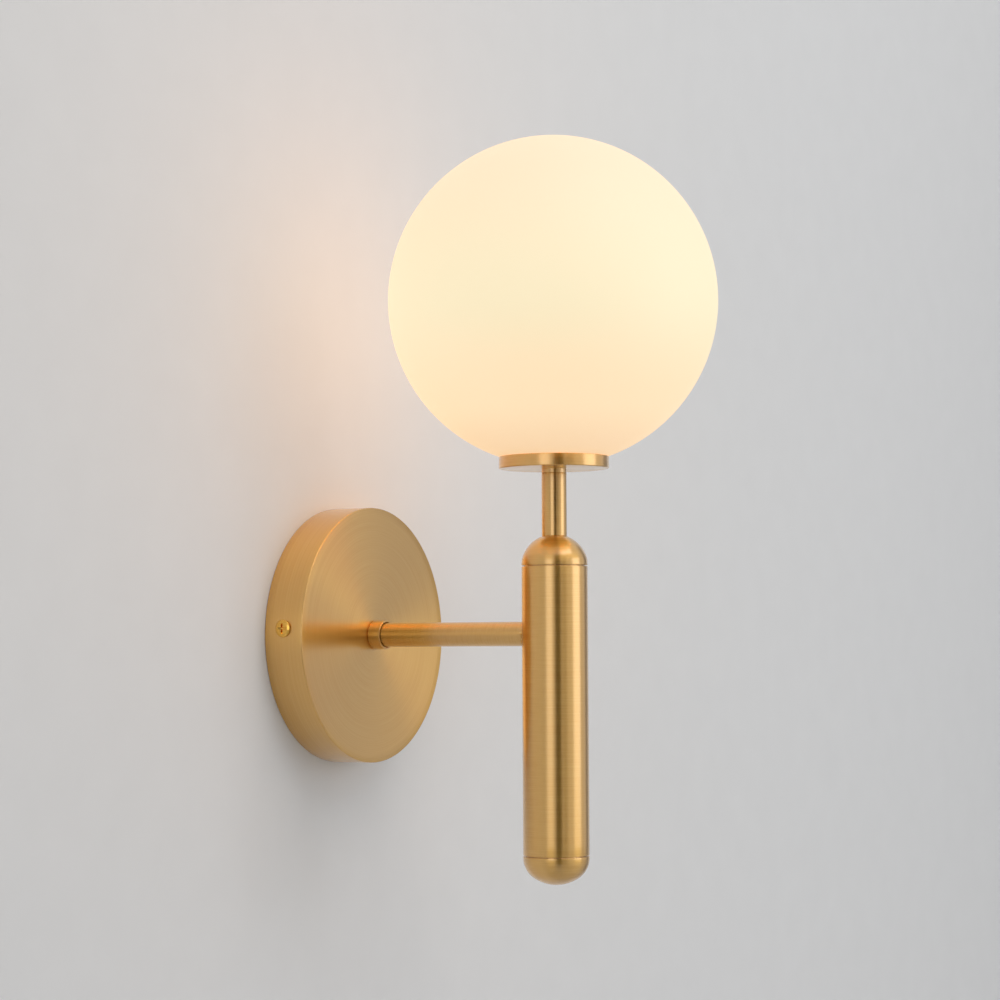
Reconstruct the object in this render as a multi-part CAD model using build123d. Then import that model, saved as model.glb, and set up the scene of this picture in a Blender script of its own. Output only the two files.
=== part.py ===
from build123d import *
from math import atan2, degrees, pi, radians, sqrt, tan
import os

# A brass wall sconce: a round canopy on the wall, a level arm, an upright round-ended body,
# a short stem and an opal glass globe that screws on to a disc at the top.
# Millimetres. The origin is the centre of the canopy's back, on the wall. +Z is up, -Y leads
# away from the wall, and +X is to the right of someone who faces the wall.

os.makedirs("parts", exist_ok=True)

# ---- Clearances ----
FIT = 0.05            # radial play of a thread, a pressed spigot or a pin in its seat
HOLE_PLAY = 0.2       # radial play of a screw or rod in a plain hole
MOVING_GAP = 0.3      # gap between the globe, with its fitter, and what it screws on to

# ---- Canopy, the cup that covers the wall box ----
CANOPY_DIAMETER = 120.0
CANOPY_DEPTH = 20.5
CANOPY_WALL = 1.2
CANOPY_EDGE_CHAMFER = 0.5
CANOPY_INNER_ROUND = 1.0

# ---- Side screws that hold the canopy to the bracket ----
SIDE_SCREW_RADIUS = 2.0
SIDE_SCREW_LENGTH = 8.0
SIDE_SCREW_OUT = 10.5        # distance from the wall
SIDE_SCREW_RISE = 3.0        # height above the canopy's centre line
SIDE_HEAD_RADIUS = 4.0
SIDE_HEAD_HEIGHT = 1.3
SIDE_HEAD_ROUND = 1.0
RECESS_SPAN = 4.4
RECESS_WIDTH = 0.9
RECESS_DEPTH = 1.0

# ---- Bracket, a steel strap with a bent tab at each end ----
STRAP_THICKNESS = 1.5
STRAP_HALF_WIDTH = 10.0
TAB_HALF_WIDTH = 7.0
TAB_LENGTH = 16.0
TAB_GAP = 0.9                # between a tab and the canopy's inner wall
TAB_BEND_RADIUS = 2.0
STRAP_TAPER = 3.0            # length over which the strap narrows to its tab
CABLE_HOLE_RADIUS = 6.0
WALL_SLOT_SPACING = 90.0
WALL_SLOT_LENGTH = 10.0
WALL_SLOT_RADIUS = 2.5

# ---- Terminal block, with a brass sleeve and two screws for each pole ----
POLES = 3
POLE_PITCH = 9.0
BLOCK_START = 9.5            # its near end, from the bracket's centre
BLOCK_HALF_HEIGHT = 8.5
BLOCK_BASE_DEPTH = 9.5
TOWER_DEPTH = 3.5
TOWER_ROOT = 1.0             # how far a tower's foot reaches into the base
TOWER_RADIUS = 3.3
TOWER_RISE = 4.3             # screw towers, above and below the middle
SLEEVE_RADIUS = 2.2
SLEEVE_BORE_RADIUS = 1.5
SLEEVE_HALF_LENGTH = 7.0
SLEEVE_OUT = 8.0             # the sleeves' axes, from the wall
CLAMP_SCREW_RADIUS = 1.5
CLAMP_HEAD_RADIUS = 1.85
CLAMP_HEAD_HEIGHT = 1.5
CLAMP_HEAD_SINK = 1.0        # depth of a clamp screw's head below its tower's mouth
SCREW_SLOT_WIDTH = 0.6
SCREW_SLOT_DEPTH = 0.7
BLOCK_SCREW_RADIUS = 1.25
BLOCK_HEAD_RADIUS = 2.2
BLOCK_HEAD_HEIGHT = 1.5
SCREW_END_GAP = 0.3          # between the wall and the end of a screw in the strap

# ---- Earth ring terminal and its screw ----
EARTH_X = -24.0
EARTH_RING_RADIUS = 4.5
EARTH_RING_THICKNESS = 0.8
EARTH_SCREW_RADIUS = 2.0
EARTH_HEAD_RADIUS = 4.0
EARTH_HEAD_HEIGHT = 2.4
CRIMP_RADIUS = 1.75
CRIMP_LOW = 5.2
CRIMP_HIGH = 11.0
CRIMP_TONGUE_HALF_WIDTH = 1.5
CRIMP_TONGUE_OVERLAP = 1.0   # tongue under the crimped barrel
CRIMP_END_MARGIN = 0.5       # barrel below the end of the insulation

# ---- Hollow threaded rods, their nuts and the washer ----
ROD_RADIUS = 4.0
ROD_BORE_RADIUS = 2.75
ROD_PROUD = 0.8              # rod beyond its nut
NUT_ACROSS_FLATS = 13.0
NUT_HEIGHT = 3.5
WASHER_RADIUS = 8.0
WASHER_THICKNESS = 1.0

# ---- Arm, with its collar on the canopy and its boss in the body ----
ARM_REACH = 118.0            # from the wall to the body's axis
ARM_RADIUS = 5.6
ARM_WALL = 1.2
COLLAR_RADIUS = 6.75
COLLAR_LENGTH = 6.8
COLLAR_FLOOR = 2.0
COLLAR_SEAT_DEPTH = 3.0      # close fit round the arm
COLLAR_MOUTH_RADIUS = 6.1    # wider bore that leaves a dark ring round the arm
COLLAR_FOOT_CHAMFER = 0.6
COLLAR_LIP_CHAMFER = 0.2
BOSS_HALF_WIDTH = 7.0
BOSS_THICKNESS = 5.0

# ---- Body, a tube with a domed cap at each end ----
BODY_RADIUS = 15.0
BODY_WALL = 1.5
BODY_TOP = 30.4              # upper seam, above the arm's axis
BODY_BOTTOM = -99.3          # lower seam
TOP_DOME_HEIGHT = 14.8
BOTTOM_DOME_HEIGHT = 13.4
DOME_SHOULDER_RADIUS = 11.0  # arc next to the seam; the crown's arc follows from it
DOME_WALL = 2.5
DOME_LAND = 1.2              # straight rim of a dome, next to the seam
SEAM_GAP = 0.4
SEAM_DEPTH = 0.6
SEAM_CHAMFER = 0.15
SPIGOT_LENGTH = 6.0
SPIGOT_WALL = 2.0
DOME_NUT_SEAT = 9.1          # flat for the nut inside the top dome, above the seam

# ---- Stem and the disc that carries the globe ----
STEM_RADIUS = 5.7
STEM_WALL = 1.3
STEM_TOP = 72.7
STEM_CHAMFER = 0.2
STEM_SEAT_MARGIN = 0.15      # flat on the dome, round the stem
DISC_RADIUS = 25.0
DISC_WALL = 1.5
DISC_FLOOR = 1.5
DISC_EDGE_CHAMFER = 0.3
HUB_HEIGHT = 2.0

# ---- Globe and its screw fitting ----
GLOBE_RADIUS = 75.0
GLOBE_WALL = 2.2
GLOBE_HOLE_RADIUS = 19.5
GLUE_GAP = 0.2
GASKET_INNER_RADIUS = 19.0
GASKET_OUTER_RADIUS = 22.8
GASKET_THICKNESS = 1.2
FITTER_BORE_RADIUS = 17.3
FITTER_SLEEVE_HEIGHT = 10.0
CARRIER_FLOOR = 1.5
CARRIER_WALL = 1.4
CARRIER_HEIGHT = 10.0
THREAD_PITCH = 4.0
THREAD_TURNS = 1.5
THREAD_HEIGHT = 0.8
THREAD_WIDTH = 1.3
THREAD_START = 3.0           # start of the carrier's thread, above the disc's floor
THREAD_ROOT = 0.3            # how far a thread's foot reaches into its wall

# ---- Lamp holder and the bridge that carries it ----
BRIDGE_THICKNESS = 1.0
BRIDGE_HALF_WIDTH = 5.0
BRIDGE_INNER_HALF_SPAN = 8.0
BRIDGE_HEIGHT = 13.3
BRIDGE_EAR_END = 14.5
HOLDER_SCREW_X = 11.6
HOLDER_SCREW_RADIUS = 1.5
HOLDER_HEAD_RADIUS = 2.7
HOLDER_HEAD_HEIGHT = 1.8
HOLDER_RADIUS = 8.5
HOLDER_HEIGHT = 19.0
HOLDER_FLANGE_HALF_LENGTH = 15.0
HOLDER_FLANGE_HALF_WIDTH = 5.5
HOLDER_FLANGE_HEIGHT = 3.5
HOLDER_TOP_PLATE = 2.0
HOLDER_TOP_CHAMFER = 0.6
WELL_INNER = 2.4             # contact well, from the holder's axis
WELL_OUTER = 6.9
WELL_HALF_WIDTH = 1.7
PIN_SPACING = 9.0
PIN_LOOP_WIDTH = 1.8
PIN_WIRE_RADIUS = 0.375
PIN_LENGTH = 8.0
PIN_ROOT = 3.0               # pin inside the lamp's base
PIN_SLOT_PLAY = 0.25
LEAF_THICKNESS = 0.4
LEAF_HEIGHT = 8.0
LEAF_GAP = 0.15              # between a contact's leaf and the pin
CONTACT_FOOT_RISE = 5.4      # contact's foot, above the holder's underside
CONTACT_FOOT_THICKNESS = 0.6
CONTACT_FERRULE_RADIUS = 1.0
CONTACT_FERRULE_LENGTH = 3.0

# ---- Lamp with two pins ----
LAMP_RADIUS = 8.0
LAMP_SEAT_GAP = 0.2          # between the lamp's base and the holder
LAMP_BASE_HEIGHT = 12.0
LAMP_BASE_FOOT_CHAMFER = 1.5
LAMP_LENGTH = 52.0
LAMP_COVER_WALL = 1.0
LAMP_SPIGOT_HEIGHT = 2.0
BOARD_HALF_WIDTH = 4.5
BOARD_THICKNESS = 1.2
BOARD_SINK = 2.0
BOARD_RISE = 30.0
CHIP_SIZE = 2.2
CHIP_HEIGHT = 0.6
CHIP_COLUMN_X = 2.2
CHIP_PITCH = 4.6
CHIP_ROWS = 6

# ---- Wires ----
WIRE_RADIUS = 1.05
CORE_RADIUS = 0.5
WIRE_SIDE = 1.25             # live and neutral lie this far each side of the middle
CORE_LENGTH = 5.0            # bare copper in a sleeve
SLEEVE_MARGIN = 0.4          # between a sleeve's end and the insulation
OPEN_BEND = 12.0             # largest bend where a lamp wire has open room
EARTH_BEND = 60.0            # largest bend of the earth wire
LIVE_LOOP_Z = 20.0
NEUTRAL_LOOP_Z = 27.0
CANOPY_BEND = 6.3            # room for a bend between the bracket and the arm rod
BODY_BEND = 8.0              # room for a bend between the boss and the body's axis
HOLDER_WIRE_X = 3.5
HOLDER_BEND_RISE = 1.4       # start of the bend to the holder, above the stem rod
HOLDER_BEND_OFFSET = 1.1     # end of that bend, above the middle of what is left
EARTH_RISE_Z = 27.0          # earth wire's points, on its way over the other two
EARTH_OVER_X = 20.0
EARTH_OVER_Z = 41.0
EARTH_CREST_X = -3.0
EARTH_CREST_Z = 43.0
EARTH_TURN_X = -20.0
EARTH_TURN_OUT = 6.0
EARTH_TURN_Z = 33.0
EARTH_DROP_Z = 20.0
RUN_SHARE = 0.45             # share of the shorter run that an arc takes

# ---- Places that follow from the sizes above ----
CANOPY_RADIUS = CANOPY_DIAMETER / 2
CANOPY_INNER_RADIUS = CANOPY_RADIUS - CANOPY_WALL
TAB_FACE = CANOPY_INNER_RADIUS - TAB_GAP
POLE_X = [BLOCK_START + POLE_PITCH * (pole + 0.5) for pole in range(POLES)]
BLOCK_END = BLOCK_START + POLE_PITCH * POLES
BLOCK_FRONT = STRAP_THICKNESS + BLOCK_BASE_DEPTH
TOWER_FRONT = BLOCK_FRONT + TOWER_DEPTH
BLOCK_SCREW_X = BLOCK_START + POLE_PITCH
RING_FRONT = STRAP_THICKNESS + EARTH_RING_THICKNESS
CRIMP_OUT = STRAP_THICKNESS + CRIMP_RADIUS + FIT

ARM_WASHER_FRONT = CANOPY_DEPTH - CANOPY_WALL
ARM_NUT_FRONT = ARM_WASHER_FRONT - WASHER_THICKNESS
ARM_ROD_START = ARM_NUT_FRONT - NUT_HEIGHT - ROD_PROUD
BODY_BORE_RADIUS = BODY_RADIUS - BODY_WALL
BOSS_FRONT = ARM_REACH - BODY_BORE_RADIUS + FIT + BOSS_THICKNESS
COLLAR_END = CANOPY_DEPTH + COLLAR_LENGTH
ARM_START = CANOPY_DEPTH + COLLAR_FLOOR

NUT_SEAT_Z = BODY_TOP + DOME_NUT_SEAT


def crown_radius(radius, rise, shoulder):
    """Radius of the arc that closes a dome on its axis, tangent to its shoulder's arc."""
    return ((radius - shoulder) ** 2 + rise ** 2 - shoulder ** 2) / (2 * (rise - shoulder))


TOP_CROWN_RISE = TOP_DOME_HEIGHT - DOME_LAND
TOP_CROWN_RADIUS = crown_radius(BODY_RADIUS, TOP_CROWN_RISE, DOME_SHOULDER_RADIUS)
STEM_SEAT_RADIUS = STEM_RADIUS + STEM_SEAT_MARGIN
STEM_SEAT_DROP = TOP_CROWN_RADIUS - sqrt(TOP_CROWN_RADIUS ** 2 - STEM_SEAT_RADIUS ** 2)
STEM_SEAT_Z = BODY_TOP + TOP_DOME_HEIGHT - STEM_SEAT_DROP
DISC_BOTTOM = STEM_TOP + HUB_HEIGHT
DISC_SEAT = DISC_BOTTOM + DISC_FLOOR
CARRIER_SEAT = DISC_SEAT + CARRIER_FLOOR
BRIDGE_SEAT = CARRIER_SEAT + BRIDGE_THICKNESS
STEM_ROD_LOW = NUT_SEAT_Z - NUT_HEIGHT - ROD_PROUD
STEM_ROD_HIGH = BRIDGE_SEAT + NUT_HEIGHT + ROD_PROUD
GLOBE_CENTRE_Z = DISC_SEAT + GLOBE_RADIUS     # the ball, if it were whole, would touch the disc's floor
FITTER_LOW = DISC_SEAT + GASKET_THICKNESS
FITTER_HIGH = FITTER_LOW + FITTER_SLEEVE_HEIGHT
FITTER_SLEEVE_RADIUS = GLOBE_HOLE_RADIUS - GLUE_GAP
CARRIER_RADIUS = FITTER_BORE_RADIUS - THREAD_HEIGHT - MOVING_GAP
HOLDER_LOW = CARRIER_SEAT + BRIDGE_HEIGHT
HOLDER_TOP = HOLDER_LOW + HOLDER_HEIGHT
LAMP_LOW = HOLDER_TOP + LAMP_SEAT_GAP
LAMP_BASE_TOP = LAMP_LOW + LAMP_BASE_HEIGHT
PIN_X = PIN_SPACING / 2
PIN_TIP = LAMP_LOW - PIN_LENGTH
CONTACT_FOOT = HOLDER_LOW + CONTACT_FOOT_RISE
LEAF_INNER = PIN_WIRE_RADIUS + LEAF_GAP

UP = (Align.CENTER, Align.CENTER, Align.MIN)
CORNER = (Align.MIN, Align.MIN, Align.MIN)
BODY_AXIS = Pos(0, -ARM_REACH, 0)


# ---- Shapes used by many pieces ----
def bar_up(radius, low, high, x=0.0):
    """Round bar along Z between two heights."""
    return Pos(x, 0, low) * Cylinder(radius, high - low, align=UP)


def bar_out(radius, near, far, x=0.0, z=0.0):
    """Round bar square to the wall, between two distances from it."""
    return Pos(x, -near, z) * Rot(90, 0, 0) * Cylinder(radius, far - near, align=UP)


def block(x_low, x_high, near, far, z_low, z_high):
    """Box between two places on X, two distances from the wall and two heights."""
    return Pos(x_low, -far, z_low) * Box(x_high - x_low, far - near, z_high - z_low, align=CORNER)


def turned(outline):
    """Solid turned about Z from a closed outline in radius and height."""
    return revolve(Plane.XZ * make_face(outline), Axis.Z)


def hexagon_nut(height):
    """Nut on the Z axis, threaded for the hollow rod."""
    sides = RegularPolygon(NUT_ACROSS_FLATS / 2, 6, major_radius=False)
    return extrude(sides, height) - Cylinder(ROD_RADIUS + FIT, height, align=UP)


def slotted_screw(radius, length, head_radius, head_height):
    """Screw on the Z axis: its shank down from z = 0, its slotted head up from there."""
    head = Cylinder(head_radius, head_height, align=UP)
    slot = Pos(0, 0, head_height) * Box(3 * head_radius, SCREW_SLOT_WIDTH, 2 * SCREW_SLOT_DEPTH)
    return head + Pos(0, 0, -length) * Cylinder(radius, length, align=UP) - slot


def cross_screw(radius, length, head_radius, head_height):
    """Screw on the Z axis with a round-edged head and a cross recess."""
    head = Cylinder(head_radius, head_height, align=UP)
    head = fillet(head.edges().sort_by(Axis.Z)[-1], SIDE_HEAD_ROUND)
    for length_x, length_y in ((RECESS_SPAN, RECESS_WIDTH), (RECESS_WIDTH, RECESS_SPAN)):
        head -= Pos(0, 0, head_height) * Box(length_x, length_y, 2 * RECESS_DEPTH)
    return head + Pos(0, 0, -length) * Cylinder(radius, length, align=UP)


def save(name, solids):
    """Write one node's solids to its file."""
    bodies = [solid for shape in solids for solid in shape.solids()]
    export_step(bodies[0] if len(bodies) == 1 else Compound(bodies), f"parts/{name}.step")


# ---- Canopy and its side screws ----
def canopy():
    """Spun cup, open to the wall, with a hole for the arm rod and one for each side screw."""
    cup = bar_out(CANOPY_RADIUS, 0, CANOPY_DEPTH)
    front_edge = cup.edges().sort_by(Axis.Y)[0]
    cup = chamfer(front_edge, CANOPY_EDGE_CHAMFER)
    hollow = bar_out(CANOPY_INNER_RADIUS, 0, CANOPY_DEPTH - CANOPY_WALL)
    hollow = fillet(hollow.edges().sort_by(Axis.Y)[0], CANOPY_INNER_ROUND)
    cup -= hollow
    cup -= bar_out(ROD_RADIUS + HOLE_PLAY, 0, CANOPY_DEPTH)
    side_hole = Cylinder(SIDE_SCREW_RADIUS + HOLE_PLAY, 2 * CANOPY_DIAMETER)
    return cup - Pos(0, -SIDE_SCREW_OUT, SIDE_SCREW_RISE) * Rot(0, 90, 0) * side_hole


def canopy_screws():
    """The two side screws, heads outwards, seated on the canopy."""
    screw = cross_screw(SIDE_SCREW_RADIUS, SIDE_SCREW_LENGTH, SIDE_HEAD_RADIUS, SIDE_HEAD_HEIGHT)
    right = Pos(CANOPY_RADIUS, -SIDE_SCREW_OUT, SIDE_SCREW_RISE) * Rot(0, 90, 0) * screw
    return [right, mirror(right, about=Plane.YZ)]


# ---- Bracket ----
def wall_bracket():
    """Steel strap on the wall, slotted for wall screws, with tapped tabs for the side screws."""
    neck = TAB_FACE - 2 * TAB_BEND_RADIUS
    shoulder = neck - STRAP_TAPER
    half = Polyline(
        (TAB_FACE, 0), (TAB_FACE, TAB_HALF_WIDTH), (neck, TAB_HALF_WIDTH), (shoulder, STRAP_HALF_WIDTH),
        (-shoulder, STRAP_HALF_WIDTH), (-neck, TAB_HALF_WIDTH), (-TAB_FACE, TAB_HALF_WIDTH), (-TAB_FACE, 0),
        close=True,
    )
    upper = make_face(half)
    outline = upper + mirror(upper, about=Plane.XZ)
    strap = extrude(Plane.XZ * outline, STRAP_THICKNESS)
    for side in (-1, 1):
        inner = side * (TAB_FACE - STRAP_THICKNESS)
        outer = side * TAB_FACE
        tab = block(min(inner, outer), max(inner, outer), 0, TAB_LENGTH, -TAB_HALF_WIDTH, TAB_HALF_WIDTH)
        strap += tab
        bend = strap.edges().filter_by(Axis.Z).filter_by_position(Axis.Y, -FIT, FIT)
        strap = fillet(bend.filter_by_position(Axis.X, outer - FIT, outer + FIT), TAB_BEND_RADIUS)
        slot = Plane.XZ * SlotOverall(WALL_SLOT_LENGTH, 2 * WALL_SLOT_RADIUS)
        slot = extrude(slot, 2 * STRAP_THICKNESS, both=True)
        strap -= Pos(side * WALL_SLOT_SPACING / 2, 0, 0) * slot
    tapped = Cylinder(SIDE_SCREW_RADIUS + FIT, 2 * CANOPY_DIAMETER)
    strap -= Pos(0, -SIDE_SCREW_OUT, SIDE_SCREW_RISE) * Rot(0, 90, 0) * tapped
    strap -= bar_out(CABLE_HOLE_RADIUS, -STRAP_THICKNESS, 2 * STRAP_THICKNESS)
    strap -= bar_out(BLOCK_SCREW_RADIUS + FIT, -STRAP_THICKNESS, 2 * STRAP_THICKNESS, BLOCK_SCREW_X)
    return strap - bar_out(EARTH_SCREW_RADIUS + FIT, -STRAP_THICKNESS, 2 * STRAP_THICKNESS, EARTH_X)


# ---- Terminal block ----
def terminal_block():
    """Moulded housing: a base with a cross bore for each sleeve, and two screw towers a pole."""
    housing = block(
        BLOCK_START, BLOCK_END, STRAP_THICKNESS, BLOCK_FRONT, -BLOCK_HALF_HEIGHT, BLOCK_HALF_HEIGHT,
    )
    for x in POLE_X:
        for rise in (-TOWER_RISE, TOWER_RISE):
            housing += bar_out(TOWER_RADIUS, BLOCK_FRONT - TOWER_ROOT, TOWER_FRONT, x, rise)
    for x in POLE_X:
        for rise in (-TOWER_RISE, TOWER_RISE):
            housing -= bar_out(CLAMP_HEAD_RADIUS + HOLE_PLAY, SLEEVE_OUT, TOWER_FRONT, x, rise)
        housing -= Pos(x, -SLEEVE_OUT, 0) * Cylinder(SLEEVE_RADIUS + FIT, 2 * BLOCK_HALF_HEIGHT)
    return housing - bar_out(BLOCK_SCREW_RADIUS + HOLE_PLAY, 0, TOWER_FRONT, BLOCK_SCREW_X)


def terminal_sleeves():
    """Brass tubes in the block, tapped for two clamp screws each."""
    sleeves = []
    for x in POLE_X:
        sleeve = Cylinder(SLEEVE_RADIUS, 2 * SLEEVE_HALF_LENGTH)
        sleeve -= Cylinder(SLEEVE_BORE_RADIUS, 2 * SLEEVE_HALF_LENGTH)
        sleeve = Pos(x, -SLEEVE_OUT, 0) * sleeve
        for rise in (-TOWER_RISE, TOWER_RISE):
            sleeve -= bar_out(CLAMP_SCREW_RADIUS + FIT, SLEEVE_OUT, TOWER_FRONT, x, rise)
        sleeves.append(sleeve)
    return sleeves


def terminal_screws():
    """Clamp screws, two in each sleeve, run down on to the copper."""
    head_foot = TOWER_FRONT - CLAMP_HEAD_SINK - CLAMP_HEAD_HEIGHT
    length = head_foot - SLEEVE_OUT - CORE_RADIUS - FIT
    screw = slotted_screw(CLAMP_SCREW_RADIUS, length, CLAMP_HEAD_RADIUS, CLAMP_HEAD_HEIGHT)
    return [
        Pos(x, -head_foot, rise) * Rot(90, 0, 0) * screw
        for x in POLE_X for rise in (-TOWER_RISE, TOWER_RISE)
    ]


def terminal_fixing_screw():
    """Screw between two poles that holds the block to the strap."""
    length = BLOCK_FRONT - SCREW_END_GAP
    screw = slotted_screw(BLOCK_SCREW_RADIUS, length, BLOCK_HEAD_RADIUS, BLOCK_HEAD_HEIGHT)
    return [Pos(BLOCK_SCREW_X, -BLOCK_FRONT, 0) * Rot(90, 0, 0) * screw]


# ---- Earth terminal ----
def earth_ring():
    """Ring terminal, flat on the strap, with a crimped barrel that points up."""
    ring = bar_out(EARTH_RING_RADIUS, STRAP_THICKNESS, RING_FRONT, EARTH_X)
    ring += block(
        EARTH_X - CRIMP_TONGUE_HALF_WIDTH, EARTH_X + CRIMP_TONGUE_HALF_WIDTH,
        STRAP_THICKNESS, RING_FRONT, 0, CRIMP_LOW + CRIMP_TONGUE_OVERLAP,
    )
    barrel = Pos(EARTH_X, -CRIMP_OUT, CRIMP_LOW) * Cylinder(CRIMP_RADIUS, CRIMP_HIGH - CRIMP_LOW, align=UP)
    bore = Pos(EARTH_X, -CRIMP_OUT, CRIMP_LOW) * Cylinder(WIRE_RADIUS + FIT, CRIMP_HIGH - CRIMP_LOW, align=UP)
    ring = ring + barrel - bore
    return [ring - bar_out(EARTH_SCREW_RADIUS + HOLE_PLAY, 0, RING_FRONT, EARTH_X)]


def earth_screw():
    """Screw that clamps the ring to the strap."""
    length = RING_FRONT - SCREW_END_GAP
    screw = slotted_screw(EARTH_SCREW_RADIUS, length, EARTH_HEAD_RADIUS, EARTH_HEAD_HEIGHT)
    return [Pos(EARTH_X, -RING_FRONT, 0) * Rot(90, 0, 0) * screw]


# ---- Arm ----
def arm_washer():
    """Plain washer inside the canopy."""
    washer = bar_out(WASHER_RADIUS, ARM_NUT_FRONT, ARM_WASHER_FRONT)
    return [washer - bar_out(ROD_RADIUS + HOLE_PLAY, ARM_NUT_FRONT, ARM_WASHER_FRONT)]


def arm_nut():
    """Nut inside the canopy that pulls collar, arm and body together."""
    return [Pos(0, -ARM_NUT_FRONT, 0) * Rot(-90, 0, 0) * hexagon_nut(NUT_HEIGHT)]


def arm_rod():
    """Hollow threaded rod from the canopy, through the arm, into the body's boss."""
    rod = bar_out(ROD_RADIUS, ARM_ROD_START, BOSS_FRONT)
    return [rod - bar_out(ROD_BORE_RADIUS, ARM_ROD_START, BOSS_FRONT)]


def arm_collar():
    """Turned ring on the canopy, with a stepped bore for the arm."""
    collar = bar_out(COLLAR_RADIUS, CANOPY_DEPTH, COLLAR_END)
    ends = collar.edges().sort_by(Axis.Y)
    collar = chamfer(ends[-1], COLLAR_FOOT_CHAMFER)
    collar = chamfer(collar.edges().sort_by(Axis.Y)[0], COLLAR_LIP_CHAMFER)
    collar -= bar_out(ROD_RADIUS + HOLE_PLAY, CANOPY_DEPTH, COLLAR_END)
    collar -= bar_out(ARM_RADIUS + FIT, ARM_START, COLLAR_END)
    return [collar - bar_out(COLLAR_MOUTH_RADIUS, ARM_START + COLLAR_SEAT_DEPTH, COLLAR_END)]


def arm_tube():
    """Arm, cut to a saddle where it meets the body."""
    tube = bar_out(ARM_RADIUS, ARM_START, ARM_REACH)
    tube -= bar_out(ARM_RADIUS - ARM_WALL, ARM_START, ARM_REACH)
    return [tube - BODY_AXIS * Cylinder(BODY_RADIUS + FIT, 6 * ARM_RADIUS)]


def arm_boss():
    """Tapped pad brazed to the inside of the body, for the end of the arm rod."""
    pad = block(-BOSS_HALF_WIDTH, BOSS_HALF_WIDTH, 0, BOSS_FRONT, -BOSS_HALF_WIDTH, BOSS_HALF_WIDTH)
    pad = pad & BODY_AXIS * Cylinder(BODY_BORE_RADIUS - FIT, 4 * BOSS_HALF_WIDTH)
    return [pad - bar_out(ROD_RADIUS + FIT, 0, ARM_REACH)]


# ---- Body ----
def body_tube():
    """Upright tube with a hole for the arm rod."""
    tube = bar_up(BODY_RADIUS, BODY_BOTTOM, BODY_TOP)
    ends = tube.edges().sort_by(Axis.Z)
    tube = chamfer([ends[0], ends[-1]], SEAM_CHAMFER)
    tube = BODY_AXIS * (tube - bar_up(BODY_BORE_RADIUS, BODY_BOTTOM, BODY_TOP))
    return [tube - bar_out(ROD_RADIUS + HOLE_PLAY, 0, ARM_REACH)]


def dome_arcs(radius, rise, shoulder):
    """Profile of a dome above its rim: a shoulder arc, then a crown arc up to the axis."""
    crown = crown_radius(radius, rise, shoulder)
    meet = degrees(atan2(crown - rise, radius - shoulder))
    lower = CenterArc((radius - shoulder, DOME_LAND), shoulder, 0, meet)
    return lower + CenterArc((0, DOME_LAND + rise - crown), crown, meet, 90 - meet)


def dome(height):
    """Turned cap with its rim at z = 0, a shadow gap above the rim, and a spigot below it."""
    rise = height - DOME_LAND
    spigot = BODY_BORE_RADIUS - FIT
    neck = BODY_RADIUS - SEAM_DEPTH
    shell = turned(
        Polyline(
            (0, height), (0, -SPIGOT_LENGTH), (spigot, -SPIGOT_LENGTH), (spigot, 0), (neck, 0),
            (neck, SEAM_GAP), (BODY_RADIUS - SEAM_CHAMFER, SEAM_GAP),
            (BODY_RADIUS, SEAM_GAP + SEAM_CHAMFER), (BODY_RADIUS, DOME_LAND),
        )
        + dome_arcs(BODY_RADIUS, rise, DOME_SHOULDER_RADIUS)
    )
    inner = spigot - SPIGOT_WALL
    inner_rise = rise - DOME_WALL
    hollow = turned(
        Polyline(
            (0, DOME_LAND + inner_rise), (0, -SPIGOT_LENGTH), (inner, -SPIGOT_LENGTH), (inner, DOME_LAND),
        )
        + dome_arcs(inner, inner_rise, DOME_SHOULDER_RADIUS - BODY_RADIUS + inner)
    )
    return shell, hollow


def top_dome():
    """Upper cap, flat on top for the stem and flat inside for its nut."""
    shell, hollow = dome(TOP_DOME_HEIGHT)
    above = Cylinder(2 * BODY_RADIUS, TOP_DOME_HEIGHT, align=UP)
    shell -= Pos(0, 0, STEM_SEAT_Z - BODY_TOP) * above
    hollow -= Pos(0, 0, DOME_NUT_SEAT) * above
    cap = shell - hollow - Cylinder(ROD_RADIUS + HOLE_PLAY, 2 * TOP_DOME_HEIGHT)
    return [BODY_AXIS * Pos(0, 0, BODY_TOP) * cap]


def bottom_dome():
    """Lower cap, closed."""
    shell, hollow = dome(BOTTOM_DOME_HEIGHT)
    return [BODY_AXIS * Pos(0, 0, BODY_BOTTOM) * Rot(180, 0, 0) * (shell - hollow)]


# ---- Stem ----
def stem_nut(face):
    """Nut on the stem rod with its lower face at the given height."""
    return [BODY_AXIS * Pos(0, 0, face) * Rot(0, 0, 30) * hexagon_nut(NUT_HEIGHT)]


def stem_rod():
    """Hollow threaded rod from inside the top dome to the lamp holder's bridge."""
    rod = bar_up(ROD_RADIUS, STEM_ROD_LOW, STEM_ROD_HIGH)
    return [BODY_AXIS * (rod - bar_up(ROD_BORE_RADIUS, STEM_ROD_LOW, STEM_ROD_HIGH))]


def stem_tube():
    """Stem between the top dome and the disc."""
    tube = bar_up(STEM_RADIUS, STEM_SEAT_Z, STEM_TOP)
    ends = tube.edges().sort_by(Axis.Z)
    tube = chamfer([ends[0], ends[-1]], STEM_CHAMFER)
    return [BODY_AXIS * (tube - bar_up(STEM_RADIUS - STEM_WALL, STEM_SEAT_Z, STEM_TOP))]


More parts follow.
